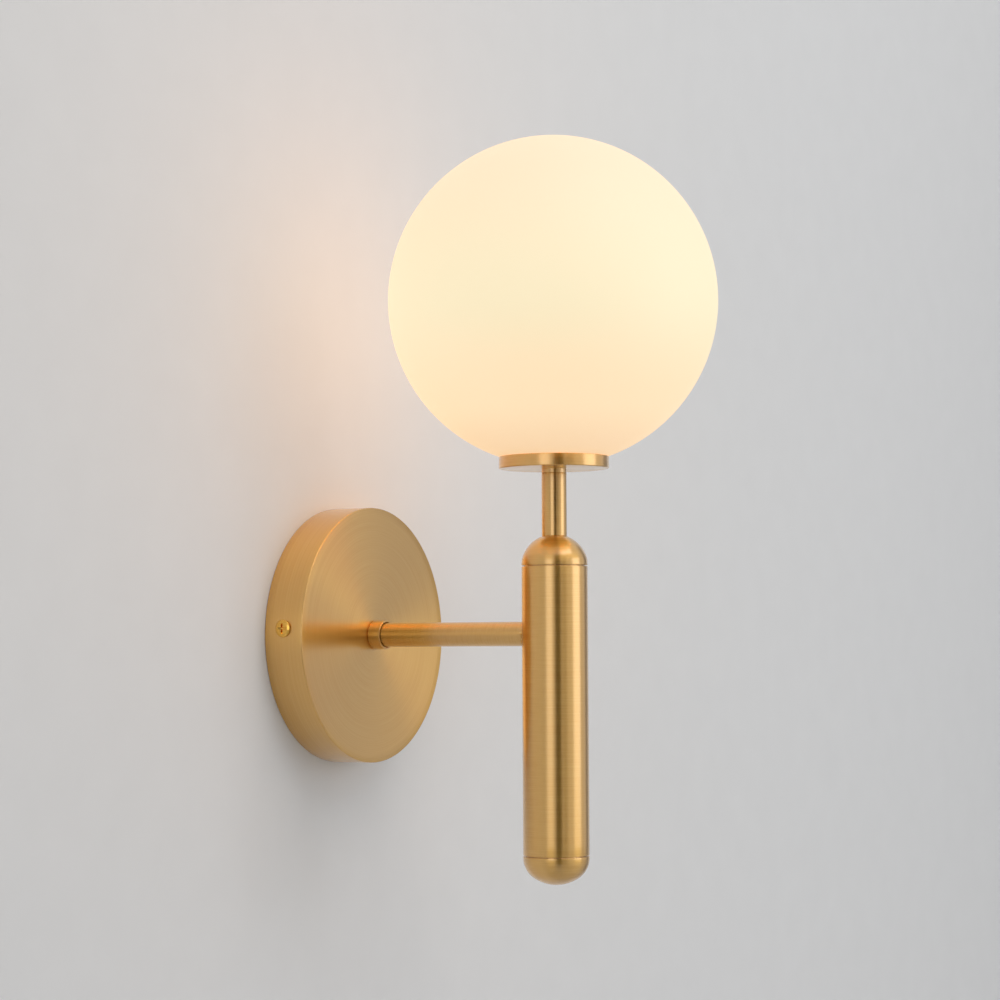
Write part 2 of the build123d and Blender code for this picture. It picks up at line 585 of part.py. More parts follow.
# ---- Disc that carries the globe ----
def shade_cup():
    """Shallow dish on a short hub, its rim cut to the globe's curve."""
    dish = bar_up(DISC_RADIUS, DISC_BOTTOM, GLOBE_CENTRE_Z - GLOBE_RADIUS / 2)
    dish = chamfer(dish.edges().sort_by(Axis.Z)[0], DISC_EDGE_CHAMFER)
    dish += bar_up(STEM_RADIUS, STEM_TOP, DISC_SEAT)
    dish -= bar_up(DISC_RADIUS - DISC_WALL, DISC_SEAT, GLOBE_CENTRE_Z)
    dish -= Pos(0, 0, GLOBE_CENTRE_Z) * Sphere(GLOBE_RADIUS + MOVING_GAP)
    return [BODY_AXIS * (dish - bar_up(ROD_RADIUS + HOLE_PLAY, STEM_TOP, DISC_SEAT))]


def screw_thread(wall_radius, height_out, start):
    """One coarse round-the-axis thread that stands out from, or in from, a wall's face."""
    root = wall_radius - THREAD_ROOT if height_out > 0 else wall_radius + THREAD_ROOT
    crest = wall_radius + height_out
    path = Pos(0, 0, start) * Helix(THREAD_PITCH, THREAD_PITCH * THREAD_TURNS, wall_radius)
    foot = THREAD_WIDTH / 2
    top = foot / 2
    section = Plane.XZ * make_face(Polyline(
        (root, start - foot), (crest, start - top), (crest, start + top), (root, start + foot), close=True,
    ))
    return sweep(section, path=path, is_frenet=True)


def shade_carrier():
    """Ring on the disc with the outside thread that the globe screws on to."""
    ring = bar_up(CARRIER_RADIUS, DISC_SEAT, DISC_SEAT + CARRIER_HEIGHT)
    ring -= bar_up(CARRIER_RADIUS - CARRIER_WALL, CARRIER_SEAT, DISC_SEAT + CARRIER_HEIGHT)
    ring += screw_thread(CARRIER_RADIUS, THREAD_HEIGHT, DISC_SEAT + THREAD_START)
    return [BODY_AXIS * (ring - bar_up(ROD_RADIUS + HOLE_PLAY, DISC_SEAT, CARRIER_SEAT))]


# ---- Globe ----
def mouth_gasket():
    """Silicone ring between the disc's floor and the globe's fitter."""
    ring = bar_up(GASKET_OUTER_RADIUS, DISC_SEAT, FITTER_LOW)
    return [BODY_AXIS * (ring - bar_up(GASKET_INNER_RADIUS, DISC_SEAT, FITTER_LOW))]


def globe_fitter():
    """Threaded ring glued into the globe's hole, with a flange under the glass."""
    ring = bar_up(GASKET_OUTER_RADIUS, FITTER_LOW, GLOBE_CENTRE_Z)
    ring -= Pos(0, 0, GLOBE_CENTRE_Z) * Sphere(GLOBE_RADIUS + GLUE_GAP)
    ring = ring.solids().sort_by(Axis.Z)[0]
    ring += bar_up(FITTER_SLEEVE_RADIUS, FITTER_LOW, FITTER_HIGH)
    ring -= bar_up(FITTER_BORE_RADIUS, FITTER_LOW, FITTER_HIGH)
    below = THREAD_WIDTH + MOVING_GAP
    ring += screw_thread(FITTER_BORE_RADIUS, -THREAD_HEIGHT, DISC_SEAT + THREAD_START - below)
    return [BODY_AXIS * ring]


def globe():
    """Blown opal glass ball with one ground hole."""
    glass = Sphere(GLOBE_RADIUS) - Sphere(GLOBE_RADIUS - GLOBE_WALL)
    glass -= Pos(0, 0, -GLOBE_RADIUS) * Cylinder(GLOBE_HOLE_RADIUS, GLOBE_RADIUS)
    return [BODY_AXIS * Pos(0, 0, GLOBE_CENTRE_Z) * glass]


# ---- Lamp holder ----
def holder_bridge():
    """Bent steel strip: a base under the stem's nut, two legs, and an ear at the top of each."""
    ear_low = HOLDER_LOW - BRIDGE_THICKNESS
    leg_outer = BRIDGE_INNER_HALF_SPAN + BRIDGE_THICKNESS
    width = (-BRIDGE_HALF_WIDTH, BRIDGE_HALF_WIDTH)
    strip = block(-leg_outer, leg_outer, *width, CARRIER_SEAT, BRIDGE_SEAT)
    for side in (-1, 1):
        leg = sorted((side * BRIDGE_INNER_HALF_SPAN, side * leg_outer))
        ear = sorted((side * BRIDGE_INNER_HALF_SPAN, side * BRIDGE_EAR_END))
        strip += block(*leg, *width, CARRIER_SEAT, HOLDER_LOW)
        strip += block(*ear, *width, ear_low, HOLDER_LOW)
        strip -= bar_up(HOLDER_SCREW_RADIUS + FIT, ear_low, HOLDER_LOW, side * HOLDER_SCREW_X)
    return [BODY_AXIS * (strip - bar_up(ROD_RADIUS + HOLE_PLAY, CARRIER_SEAT, BRIDGE_SEAT))]


def lamp_holder():
    """Ceramic body with a flange for two screws, a well for each contact and a slot for each pin."""
    body = bar_up(HOLDER_RADIUS, HOLDER_LOW, HOLDER_TOP)
    body = chamfer(body.edges().sort_by(Axis.Z)[-1], HOLDER_TOP_CHAMFER)
    body += block(
        -HOLDER_FLANGE_HALF_LENGTH, HOLDER_FLANGE_HALF_LENGTH,
        -HOLDER_FLANGE_HALF_WIDTH, HOLDER_FLANGE_HALF_WIDTH,
        HOLDER_LOW, HOLDER_LOW + HOLDER_FLANGE_HEIGHT,
    )
    slot_x = PIN_LOOP_WIDTH / 2 + PIN_WIRE_RADIUS + PIN_SLOT_PLAY
    slot_y = PIN_WIRE_RADIUS + PIN_SLOT_PLAY
    well_top = HOLDER_TOP - HOLDER_TOP_PLATE
    for side in (-1, 1):
        well = sorted((side * WELL_INNER, side * WELL_OUTER))
        middle = side * PIN_X
        body -= block(*well, -WELL_HALF_WIDTH, WELL_HALF_WIDTH, HOLDER_LOW, well_top)
        body -= block(middle - slot_x, middle + slot_x, -slot_y, slot_y, well_top, HOLDER_TOP)
        body -= bar_up(
            HOLDER_SCREW_RADIUS + HOLE_PLAY, HOLDER_LOW, HOLDER_TOP, side * HOLDER_SCREW_X,
        )
    return [BODY_AXIS * body]


def holder_screws():
    """Two screws through the ceramic flange into the bridge's ears."""
    length = HOLDER_FLANGE_HEIGHT + BRIDGE_THICKNESS
    screw = slotted_screw(HOLDER_SCREW_RADIUS, length, HOLDER_HEAD_RADIUS, HOLDER_HEAD_HEIGHT)
    seat = HOLDER_LOW + HOLDER_FLANGE_HEIGHT
    return [BODY_AXIS * Pos(side * HOLDER_SCREW_X, 0, seat) * screw for side in (-1, 1)]


def holder_contacts():
    """Spring contacts: a foot that fills the well, two leaves round the pin, and a wire ferrule."""
    contacts = []
    leaf_outer = LEAF_INNER + LEAF_THICKNESS
    leaf_x = PIN_LOOP_WIDTH / 2 + PIN_WIRE_RADIUS
    foot_top = CONTACT_FOOT + CONTACT_FOOT_THICKNESS
    for side in (-1, 1):
        foot = sorted((side * (WELL_INNER + FIT), side * (WELL_OUTER - FIT)))
        contact = block(*foot, -WELL_HALF_WIDTH + FIT, WELL_HALF_WIDTH - FIT, CONTACT_FOOT, foot_top)
        middle = side * PIN_X
        for near, far in ((LEAF_INNER, leaf_outer), (-leaf_outer, -LEAF_INNER)):
            contact += block(middle - leaf_x, middle + leaf_x, near, far, foot_top, foot_top + LEAF_HEIGHT)
        ferrule = bar_up(CONTACT_FERRULE_RADIUS, CONTACT_FOOT - CONTACT_FERRULE_LENGTH, CONTACT_FOOT)
        ferrule -= bar_up(CORE_RADIUS + FIT, CONTACT_FOOT - CONTACT_FERRULE_LENGTH, CONTACT_FOOT)
        contacts.append(BODY_AXIS * (contact + Pos(side * HOLDER_WIRE_X, 0, 0) * ferrule))
    return contacts


# ---- Lamp ----
def bulb_pins():
    """Two pins, each a loop of wire, with their roots in the lamp's base."""
    pins = []
    top = LAMP_LOW + PIN_ROOT
    foot = PIN_TIP + PIN_WIRE_RADIUS
    for side in (-1, 1):
        left = side * PIN_X - PIN_LOOP_WIDTH / 2
        right = side * PIN_X + PIN_LOOP_WIDTH / 2
        loop = FilletPolyline(
            (left, 0, top), (left, 0, foot), (right, 0, foot), (right, 0, top),
            radius=RUN_SHARE * PIN_LOOP_WIDTH,
        )
        pins.append(BODY_AXIS * sweep(Pos(left, 0, top) * Circle(PIN_WIRE_RADIUS), path=loop))
    return pins


def bulb_base():
    """Moulded base with pin holes, a spigot for the cover and a slot for the board."""
    base = bar_up(LAMP_RADIUS, LAMP_LOW, LAMP_BASE_TOP)
    base = chamfer(base.edges().sort_by(Axis.Z)[0], LAMP_BASE_FOOT_CHAMFER)
    base += bar_up(LAMP_RADIUS - LAMP_COVER_WALL - FIT, LAMP_BASE_TOP, LAMP_BASE_TOP + LAMP_SPIGOT_HEIGHT)
    for side in (-1, 1):
        for leg in (-PIN_LOOP_WIDTH / 2, PIN_LOOP_WIDTH / 2):
            base -= bar_up(PIN_WIRE_RADIUS + FIT, LAMP_LOW, LAMP_LOW + PIN_ROOT, side * PIN_X + leg)
    slot_x = BOARD_HALF_WIDTH + FIT
    slot_y = BOARD_THICKNESS / 2 + FIT
    slot_low = LAMP_BASE_TOP + LAMP_SPIGOT_HEIGHT - BOARD_SINK
    return [BODY_AXIS * (base - block(-slot_x, slot_x, -slot_y, slot_y, slot_low, slot_low + 2 * BOARD_SINK))]


def bulb_board():
    """Circuit board with rows of light-emitting chips on both faces."""
    low = LAMP_BASE_TOP + LAMP_SPIGOT_HEIGHT - BOARD_SINK
    half = BOARD_THICKNESS / 2
    board = block(-BOARD_HALF_WIDTH, BOARD_HALF_WIDTH, -half, half, low, low + BOARD_SINK + BOARD_RISE)
    chip = Box(CHIP_SIZE, BOARD_THICKNESS + 2 * CHIP_HEIGHT, CHIP_SIZE)
    for row in range(CHIP_ROWS):
        height = low + BOARD_SINK + CHIP_PITCH * (row + 0.75)
        for x in (-CHIP_COLUMN_X, CHIP_COLUMN_X):
            board += Pos(x, 0, height) * chip
    return [BODY_AXIS * board]


def bulb_cover():
    """Opal cover: a tube with a round end."""
    inner = LAMP_RADIUS - LAMP_COVER_WALL
    shoulder = LAMP_LOW + LAMP_LENGTH - LAMP_RADIUS
    cover = bar_up(LAMP_RADIUS, LAMP_BASE_TOP, shoulder) + Pos(0, 0, shoulder) * Sphere(LAMP_RADIUS)
    cover -= bar_up(inner, LAMP_BASE_TOP, shoulder)
    return [BODY_AXIS * (cover - Pos(0, 0, shoulder) * Sphere(inner))]


# ---- Wires ----
def route_radii(points, room):
    """Arc at each corner: a share of its shorter run, but no more than the room there."""
    radii = []
    for before, corner, after, limit in zip(points, points[1:], points[2:], room):
        arrive = Vector(*corner) - Vector(*before)
        leave = Vector(*after) - Vector(*corner)
        half_turn = radians(arrive.get_angle(leave)) / 2
        radii.append(min(limit, RUN_SHARE * min(arrive.length, leave.length) / tan(half_turn)))
    return radii


def wire(name, points, room, core_start, core_end):
    """Insulated wire along its route, with bare copper on from each end."""
    radii = route_radii(points, room)
    path = FilletPolyline(*points, radius=radii)
    section = Plane(origin=path @ 0, z_dir=path % 0) * Circle(WIRE_RADIUS)
    solid = sweep(section, path=path)
    expected = pi * WIRE_RADIUS ** 2 * path.length
    print(f"{name}: {path.length:.1f} mm long, volume {solid.volume / expected:.4f} of section x length,",
          "radii", [round(radius, 1) for radius in radii])
    for place, way, length in ((path @ 0, path % 0 * -1, core_start), (path @ 1, path % 1, core_end)):
        if length > 0:
            tail = Plane(origin=place - way * FIT, z_dir=way) * Cylinder(CORE_RADIUS, length + FIT, align=UP)
            solid += tail
    return [solid]


def lamp_wire(name, pole_x, loop_z, side):
    """Live or neutral, from its sleeve, through arm, body and stem, to its contact."""
    bore_x = side * WIRE_SIDE
    insulation_top = CONTACT_FOOT - CONTACT_FERRULE_LENGTH - FIT
    bend = STEM_ROD_HIGH + HOLDER_BEND_RISE
    bend_end = (bend + insulation_top) / 2 + HOLDER_BEND_OFFSET
    points = [
        (pole_x, -SLEEVE_OUT, SLEEVE_HALF_LENGTH + SLEEVE_MARGIN),
        (pole_x, -SLEEVE_OUT, loop_z),
        (bore_x, -SLEEVE_OUT, loop_z),
        (bore_x, -SLEEVE_OUT, 0),
        (bore_x, -ARM_REACH, 0),
        (bore_x, -ARM_REACH, bend),
        (side * HOLDER_WIRE_X, -ARM_REACH, bend_end),
        (side * HOLDER_WIRE_X, -ARM_REACH, insulation_top),
    ]
    room = [OPEN_BEND, OPEN_BEND, CANOPY_BEND, BODY_BEND, OPEN_BEND, OPEN_BEND]
    return wire(name, points, room, CORE_LENGTH, CONTACT_FERRULE_LENGTH)


def earth_wire():
    """Earth, from the far pole, over the other two wires, down to its ring terminal."""
    points = [
        (POLE_X[2], -SLEEVE_OUT, SLEEVE_HALF_LENGTH + SLEEVE_MARGIN),
        (POLE_X[2], -SLEEVE_OUT, EARTH_RISE_Z),
        (EARTH_OVER_X, -SLEEVE_OUT, EARTH_OVER_Z),
        (EARTH_CREST_X, -SLEEVE_OUT, EARTH_CREST_Z),
        (EARTH_TURN_X, -EARTH_TURN_OUT, EARTH_TURN_Z),
        (EARTH_X, -CRIMP_OUT, EARTH_DROP_Z),
        (EARTH_X, -CRIMP_OUT, CRIMP_LOW + CRIMP_END_MARGIN),
    ]
    return wire("earth_wire", points, [EARTH_BEND] * 5, CORE_LENGTH, 0)


# ---- One file for each node ----
save("wall_bracket", [wall_bracket()])
save("terminal_block", [terminal_block()])
save("terminal_sleeves", terminal_sleeves())
save("terminal_screws", terminal_screws())
save("terminal_fixing_screw", terminal_fixing_screw())
save("earth_ring", earth_ring())
save("earth_screw", earth_screw())
save("earth_wire", earth_wire())
save("live_wire", lamp_wire("live_wire", POLE_X[0], LIVE_LOOP_Z, 1))
save("neutral_wire", lamp_wire("neutral_wire", POLE_X[1], NEUTRAL_LOOP_Z, -1))
save("canopy", [canopy()])
save("canopy_screws", canopy_screws())
save("arm_washer", arm_washer())
save("arm_nut", arm_nut())
save("arm_rod", arm_rod())
save("arm_collar", arm_collar())
save("arm_tube", arm_tube())
save("arm_boss", arm_boss())
save("body_tube", body_tube())
save("top_dome", top_dome())
save("bottom_dome", bottom_dome())
save("stem_nut_lower", stem_nut(NUT_SEAT_Z - NUT_HEIGHT))
save("stem_nut_upper", stem_nut(BRIDGE_SEAT))
save("stem_rod", stem_rod())
save("stem_tube", stem_tube())
save("shade_cup", shade_cup())
save("shade_carrier", shade_carrier())
save("mouth_gasket", mouth_gasket())
save("globe_fitter", globe_fitter())
save("globe", globe())
save("holder_bridge", holder_bridge())
save("lamp_holder", lamp_holder())
save("holder_screws", holder_screws())
save("holder_contacts", holder_contacts())
save("bulb_pins", bulb_pins())
save("bulb_base", bulb_base())
save("bulb_board", bulb_board())
save("bulb_cover", bulb_cover())
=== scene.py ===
# %% [markdown]
# # Globe wall sconce
# A brass wall light: a round canopy, a level arm, an upright round-ended body, a short stem
# and a lit opal globe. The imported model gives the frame. Every piece made here sits where the
# frame has its solid, in metres, with the origin on the wall behind the canopy's centre.

# %% Frame
from math import atan2, ceil, cos, pi, radians, sin, sqrt, tan

import bpy
from mathutils import Matrix, Vector


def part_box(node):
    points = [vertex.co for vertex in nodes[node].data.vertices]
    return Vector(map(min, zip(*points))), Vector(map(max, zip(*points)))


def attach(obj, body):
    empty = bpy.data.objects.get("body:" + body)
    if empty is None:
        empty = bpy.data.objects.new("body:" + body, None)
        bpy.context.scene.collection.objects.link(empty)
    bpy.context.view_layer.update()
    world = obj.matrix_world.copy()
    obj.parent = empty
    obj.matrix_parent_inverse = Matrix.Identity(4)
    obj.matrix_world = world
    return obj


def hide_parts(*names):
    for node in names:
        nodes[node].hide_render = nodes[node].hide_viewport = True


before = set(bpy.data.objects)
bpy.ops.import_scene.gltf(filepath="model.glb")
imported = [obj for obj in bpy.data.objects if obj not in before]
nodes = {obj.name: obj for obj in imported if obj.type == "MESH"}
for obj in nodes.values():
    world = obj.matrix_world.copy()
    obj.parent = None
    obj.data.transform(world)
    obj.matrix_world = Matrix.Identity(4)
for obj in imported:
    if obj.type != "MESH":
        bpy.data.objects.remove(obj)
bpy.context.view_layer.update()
scene = bpy.context.scene

# %% [markdown]
# ## Camera
# The photograph looks along the wall from the left, almost level, through a long lens. The
# camera comes first, so that each piece can be held against the photograph as it is made.
# It stands on a line from a point near the body, and leans a third of a degree.

# %% Camera
AZIMUTH, ELEVATION, LEAN = radians(-59.44), radians(-3.238), radians(-0.3)
LENS, DISTANCE = 90.0, 1.1272
TARGET = Vector((-0.017781, -0.1, 0.0603))

back = Vector((sin(AZIMUTH) * cos(ELEVATION), -cos(AZIMUTH) * cos(ELEVATION), sin(ELEVATION)))
level = Vector((0, 0, 1)).cross(back).normalized()
right = level * cos(LEAN) + back.cross(level) * sin(LEAN)
camera = bpy.data.objects.new("camera", bpy.data.cameras.new("camera"))
camera.data.lens = LENS
camera.matrix_world = Matrix.Translation(TARGET + back * DISTANCE) @ Matrix(
    (right, back.cross(right), back)).transposed().to_4x4()
scene.collection.objects.link(camera)
scene.camera = camera
scene.view_settings.view_transform = "Standard"
print("camera at", [round(value, 3) for value in camera.matrix_world.translation])

# %% [markdown]
# ## Node helper
# Shaders and Geometry Nodes are both trees of nodes. One function adds a node with its
# settings, and gives each socket a plain value or another node's output.

# %% Node helper
MM = 0.001


def add(tree, kind, sockets=None, **settings):
    """A node with its settings; each socket takes a value or another socket's output."""
    node = tree.nodes.new(kind)
    for name, value in settings.items():
        setattr(node, name, value)
    for key, value in (sockets or {}).items():
        if isinstance(value, bpy.types.NodeSocket):
            tree.links.new(value, node.inputs[key])
        else:
            node.inputs[key].default_value = value
    return node


def linear(colour):
    """An sRGB hex colour as linear RGBA."""
    parts = [int(colour[i:i + 2], 16) / 255 for i in (1, 3, 5)]
    return [c / 12.92 if c <= 0.04045 else ((c + 0.055) / 1.055) ** 2.4 for c in parts] + [1.0]


# %% [markdown]
# ## Materials
# Each finish starts as a Principled shader with the typical values of the real material. What
# is the same all over the surface is set on the shader's own sockets. What varies, such as
# brush lines, comes from noise measured in millimetres.

# %% Material base
def finish(name, colour, roughness, **extra):
    """A new material, its tree and its shader; extra values go to the sockets of those names."""
    material = bpy.data.materials.new(name)
    material.use_nodes = True
    tree = material.node_tree
    shader = tree.nodes["Principled BSDF"]
    values = {"Base Color": linear(colour), "Roughness": roughness}
    values.update({key.replace("_", " "): value for key, value in extra.items()})
    for key, value in values.items():
        shader.inputs[key].default_value = value
    return material, tree, shader


def dress(tree, shader, place, spacing, dark, light, roughness, depth, detail=3.0):
    """Colour, roughness and relief that follow one noise; spacing is in metres on each axis."""
    spread = add(tree, "ShaderNodeVectorMath", {0: place, 1: [1 / size for size in spacing]},
                 operation="MULTIPLY")
    pattern = add(tree, "ShaderNodeTexNoise", {
        "Vector": spread.outputs[0], "Scale": 1.0, "Detail": detail}).outputs[0]
    share = add(tree, "ShaderNodeMapRange", {
        "Value": pattern, "From Min": 0.3, "From Max": 0.7}).outputs[0]
    colour = add(tree, "ShaderNodeMix", {0: share, 6: linear(dark), 7: linear(light)},
                 data_type="RGBA")
    gloss = add(tree, "ShaderNodeMapRange", {
        "Value": share, "To Min": roughness[0], "To Max": roughness[1]})
    relief = add(tree, "ShaderNodeBump", {"Height": pattern, "Distance": depth})
    tree.links.new(colour.outputs[2], shader.inputs["Base Color"])
    tree.links.new(gloss.outputs[0], shader.inputs["Roughness"])
    tree.links.new(relief.outputs[0], shader.inputs["Normal"])


# %% [markdown]
# ### Satin brass
# The large pieces are brass, spun or turned, then brushed while they turn, and lacquered. The
# brush leaves fine lines round the axis. They hardly blur a reflection along the line and blur
# it much across, which draws upright bands on the body and wedges on the canopy. Real lines
# are about 0.05 mm apart; they are drawn about 0.3 mm apart, so that they just show. The piece
# carries a "grain" attribute, made with its mesh: its direction round the axis and its distance
# along the outline, so that the lines follow every turned shape. The lacquer is a coat. Its IOR
# is above a real lacquer's 1.5, because bright bands on the real one are creamy, not gold.

# %% Satin brass
satin_brass, tree, shader = finish(
    "satin_brass", "#E3B254", 0.34, Metallic=1.0, Anisotropic=0.88, Anisotropic_Rotation=0.25,
    Coat_Weight=1.0, Coat_Roughness=0.20, Coat_IOR=1.95)
grain = add(tree, "ShaderNodeAttribute", attribute_name="grain").outputs["Vector"]
BRUSH_LENGTH, BRUSH_SPACING, BRUSH_DEPTH = 9 * MM, 0.3 * MM, 0.0015 * MM
dress(tree, shader, grain, (BRUSH_LENGTH, BRUSH_LENGTH, BRUSH_SPACING), "#DEA644", "#E7B455",
      (0.31, 0.37), BRUSH_DEPTH)
around = add(tree, "ShaderNodeTangent", direction_type="UV_MAP", uv_map="UVMap")
tree.links.new(around.outputs[0], shader.inputs["Tangent"])
print("finish", satin_brass.name)

# %% [markdown]
# ### Bright and bare brass
# The screws are brass-plated and bright, with only hairline scratches. Rods, nuts and washer
# come straight from the lathe, bare and a little dull.

# %% Other metals
def plain_metal(name, dark, light, roughness, spacing, depth):
    """A bare metal with even, fine-grained marks of this spacing and depth."""
    material, tree, shader = finish(name, light, roughness, Metallic=1.0)
    place = add(tree, "ShaderNodeTexCoord").outputs["Object"]
    spread = (roughness - 0.05, roughness + 0.07)
    dress(tree, shader, place, [spacing] * 3, dark, light, spread, depth, 4.0)
    return material


bright_brass = plain_metal("bright_brass", "#E8AE48", "#FACB6A", 0.2, 0.6 * MM, 0.002 * MM)
turned_brass = plain_metal("turned_brass", "#C79B55", "#DDB673", 0.34, 0.5 * MM, 0.004 * MM)
zinc_steel = plain_metal("zinc_plated_steel", "#B4B8BC", "#CDD2D6", 0.36, 1.2 * MM, 0.006 * MM)
tinned_copper = plain_metal("tinned_copper", "#C4C4C0", "#DCDCD8", 0.30, 0.4 * MM, 0.003 * MM)
fitter_aluminium = plain_metal("turned_aluminium", "#CFD1D3", "#E2E4E6", 0.28, 0.5 * MM, 0.003 * MM)
lamp_pins = plain_metal("nickel_wire", "#BDBAB2", "#D2CFC8", 0.22, 0.4 * MM, 0.001 * MM)
print("metals", bright_brass.name, turned_brass.name, zinc_steel.name, tinned_copper.name)

# %% [markdown]
# ### Opal glass
# The globe is blown opal glass, etched to a satin skin and lit from inside. White glass sends
# about half of the room's light back and lets the lamp's warm light through. The lamp sits at
# mid height, so the glass glows most there and a little less, and warmer, near the holder.

# %% Opal glass
opal_glass, tree, shader = finish("opal_glass", "#ACAAA6", 0.6, IOR=1.5, Emission_Strength=1.0)
place = add(tree, "ShaderNodeTexCoord").outputs["Object"]
dress(tree, shader, place, [0.5 * MM] * 3, "#AAA8A4", "#AEACA8", (0.58, 0.64), 0.004 * MM)
height = add(tree, "ShaderNodeSeparateXYZ", {0: place}).outputs["Z"]
MOUTH_LEVEL, CROWN_LEVEL = 78 * MM, 226 * MM
share = add(tree, "ShaderNodeMapRange", {
    "Value": height, "From Min": MOUTH_LEVEL, "From Max": CROWN_LEVEL})
glow = add(tree, "ShaderNodeValToRGB", {0: share.outputs[0]})
ramp = glow.color_ramp
ramp.interpolation = "EASE"
ramp.elements[0].color = linear("#E0B988")
ramp.elements[-1].color = linear("#D8BB8F")
for spot, colour in ((0.16, "#E8C797"), (0.45, "#DDCB9E")):
    ramp.elements.new(spot).color = linear(colour)
tree.links.new(glow.outputs[0], shader.inputs["Emission Color"])
print("finish", opal_glass.name)

# %% [markdown]
# ### Mouldings, ceramic and rubber
# The terminal block and lamp are moulded plastic, faintly eroded like their tools. The lamp
# holder is unglazed steatite, chalky and fine-grained. The gasket is white silicone, and the
# wires have smooth PVC.

# %% Mouldings
def moulded(name, dark, light, roughness, spacing, depth, **extra):
    """A moulded or fired material with marks of this spacing and depth."""
    material, tree, shader = finish(name, light, roughness, IOR=1.5, **extra)
    place = add(tree, "ShaderNodeTexCoord").outputs["Object"]
    spread = (roughness - 0.05, roughness + 0.05)
    dress(tree, shader, place, [spacing] * 3, dark, light, spread, depth)
    return material


white_polyamide = moulded("white_polyamide", "#DAD9D3", "#E6E5E0", 0.45, 0.5 * MM, 0.01 * MM)
ceramic = moulded("steatite", "#DFDACE", "#EBE7DD", 0.62, 0.35 * MM, 0.02 * MM)
silicone = moulded("white_silicone", "#DCDAD4", "#E4E2DC", 0.55, 0.8 * MM, 0.005 * MM,
                   Subsurface_Weight=0.1)
wire_live = moulded("brown_pvc", "#4A2716", "#5B311D", 0.32, 1.5 * MM, 0.006 * MM)
wire_neutral = moulded("blue_pvc", "#17509C", "#1F62B4", 0.32, 1.5 * MM, 0.006 * MM)
lamp_plastic = moulded("lamp_plastic", "#E4E2DC", "#EEECE8", 0.4, 0.6 * MM, 0.006 * MM)
lamp_cover = moulded("opal_cover", "#EFE9DC", "#F5F0E6", 0.45, 0.9 * MM, 0.004 * MM,
                     Emission_Color=linear("#FFD9A0"), Emission_Strength=1.0)
lamp_board = moulded("board_with_chips", "#D9DCD6", "#F0D56A", 0.4, 1.4 * MM, 0.004 * MM)
print("mouldings", white_polyamide.name, ceramic.name, silicone.name)

# %% [markdown]
# ### Earth wire
# The earth wire is green with a yellow stripe that winds round it. On a short wire, bands that
# cross it at a slant read the same, so the stripe comes from a slanted wave.

# %% Striped insulation
wire_earth, tree, shader = finish("green_yellow_pvc", "#2E8B3C", 0.32, IOR=1.5)
place = add(tree, "ShaderNodeTexCoord").outputs["Object"]
slant = add(tree, "ShaderNodeVectorMath", {0: place, 1: (1.0, 0.6, 1.0)}, operation="DOT_PRODUCT")
STRIPE_PITCH = 5 * MM
turn = add(tree, "ShaderNodeMath", {0: slant.outputs["Value"], 1: 2 * pi / STRIPE_PITCH},
           operation="MULTIPLY")
wave = add(tree, "ShaderNodeMath", {0: turn.outputs[0]}, operation="SINE")
stripe = add(tree, "ShaderNodeMapRange", {
    "Value": wave.outputs[0], "From Min": 0.1, "From Max": 0.2})
paint = add(tree, "ShaderNodeMix", {
    0: stripe.outputs[0], 6: linear("#2E8B3C"), 7: linear("#E6CF3A")}, data_type="RGBA")
tree.links.new(paint.outputs[2], shader.inputs["Base Color"])
print("finish", wire_earth.name)

# %% [markdown]
# ### Finishes on the frame's solids
# Each solid's slot names its finish. The solids keep their own meshes; only their slots are
# filled, so that the pieces inside are dressed too.

# %% Slots
SLOT_FINISHES = {
    "satin_brass": satin_brass, "bright_brass": bright_brass, "turned_brass": turned_brass,
    "zinc_steel": zinc_steel, "tinned_copper": tinned_copper, "opal_glass": opal_glass,
    "fitter_aluminium": fitter_aluminium, "silicone": silicone, "ceramic": ceramic,
    "white_polyamide": white_polyamide, "wire_live": wire_live, "wire_neutral": wire_neutral,
    "wire_earth": wire_earth, "lamp_pins": lamp_pins, "lamp_plastic": lamp_plastic,
    "lamp_board": lamp_board, "lamp_cover": lamp_cover,
}
for node in nodes.values():
    for slot in node.material_slots:
        slot.material = SLOT_FINISHES[slot.material.name.split(".")[0]]
print(len(SLOT_FINISHES), "finishes on", len(nodes), "nodes")

# %% [markdown]
# ## Turned pieces
# Nearly every brass piece comes off a lathe or a spinning chuck, so its shape follows one rule:
# an outline turned round an axis. The Screw modifier could do it, but a Geometry Nodes tree can
# also write the grain that the brushed finish reads. The outline is a string of points, as
# radius and height. The tree lays a grid with one column for each step round the axis and one
# row for each point, and moves each grid point to its place.

# %% Tree that turns an outline
turning = bpy.data.node_groups.new("turned_from_outline", "GeometryNodeTree")
for label, kind, way in (
        ("Outline", "NodeSocketGeometry", "INPUT"), ("Steps", "NodeSocketInt", "INPUT"),
        ("Crease", "NodeSocketFloat", "INPUT"), ("Finish", "NodeSocketMaterial", "INPUT"),
        ("Piece", "NodeSocketGeometry", "OUTPUT")):
    turning.interface.new_socket(label, in_out=way, socket_type=kind)
given = add(turning, "NodeGroupInput")
steps = given.outputs["Steps"]
points = add(turning, "GeometryNodeAttributeDomainSize", {
    "Geometry": given.outputs["Outline"]}).outputs["Point Count"]
columns = add(turning, "ShaderNodeMath", {0: steps, 1: 1.0}, operation="ADD").outputs[0]
grid = add(turning, "GeometryNodeMeshGrid", {
    "Size X": 1.0, "Size Y": 1.0, "Vertices X": columns, "Vertices Y": points})
number = add(turning, "GeometryNodeInputIndex").outputs[0]
row = add(turning, "ShaderNodeMath", {0: number, 1: points}, operation="MODULO").outputs[0]
passed = add(turning, "ShaderNodeMath", {0: number, 1: points}, operation="DIVIDE").outputs[0]
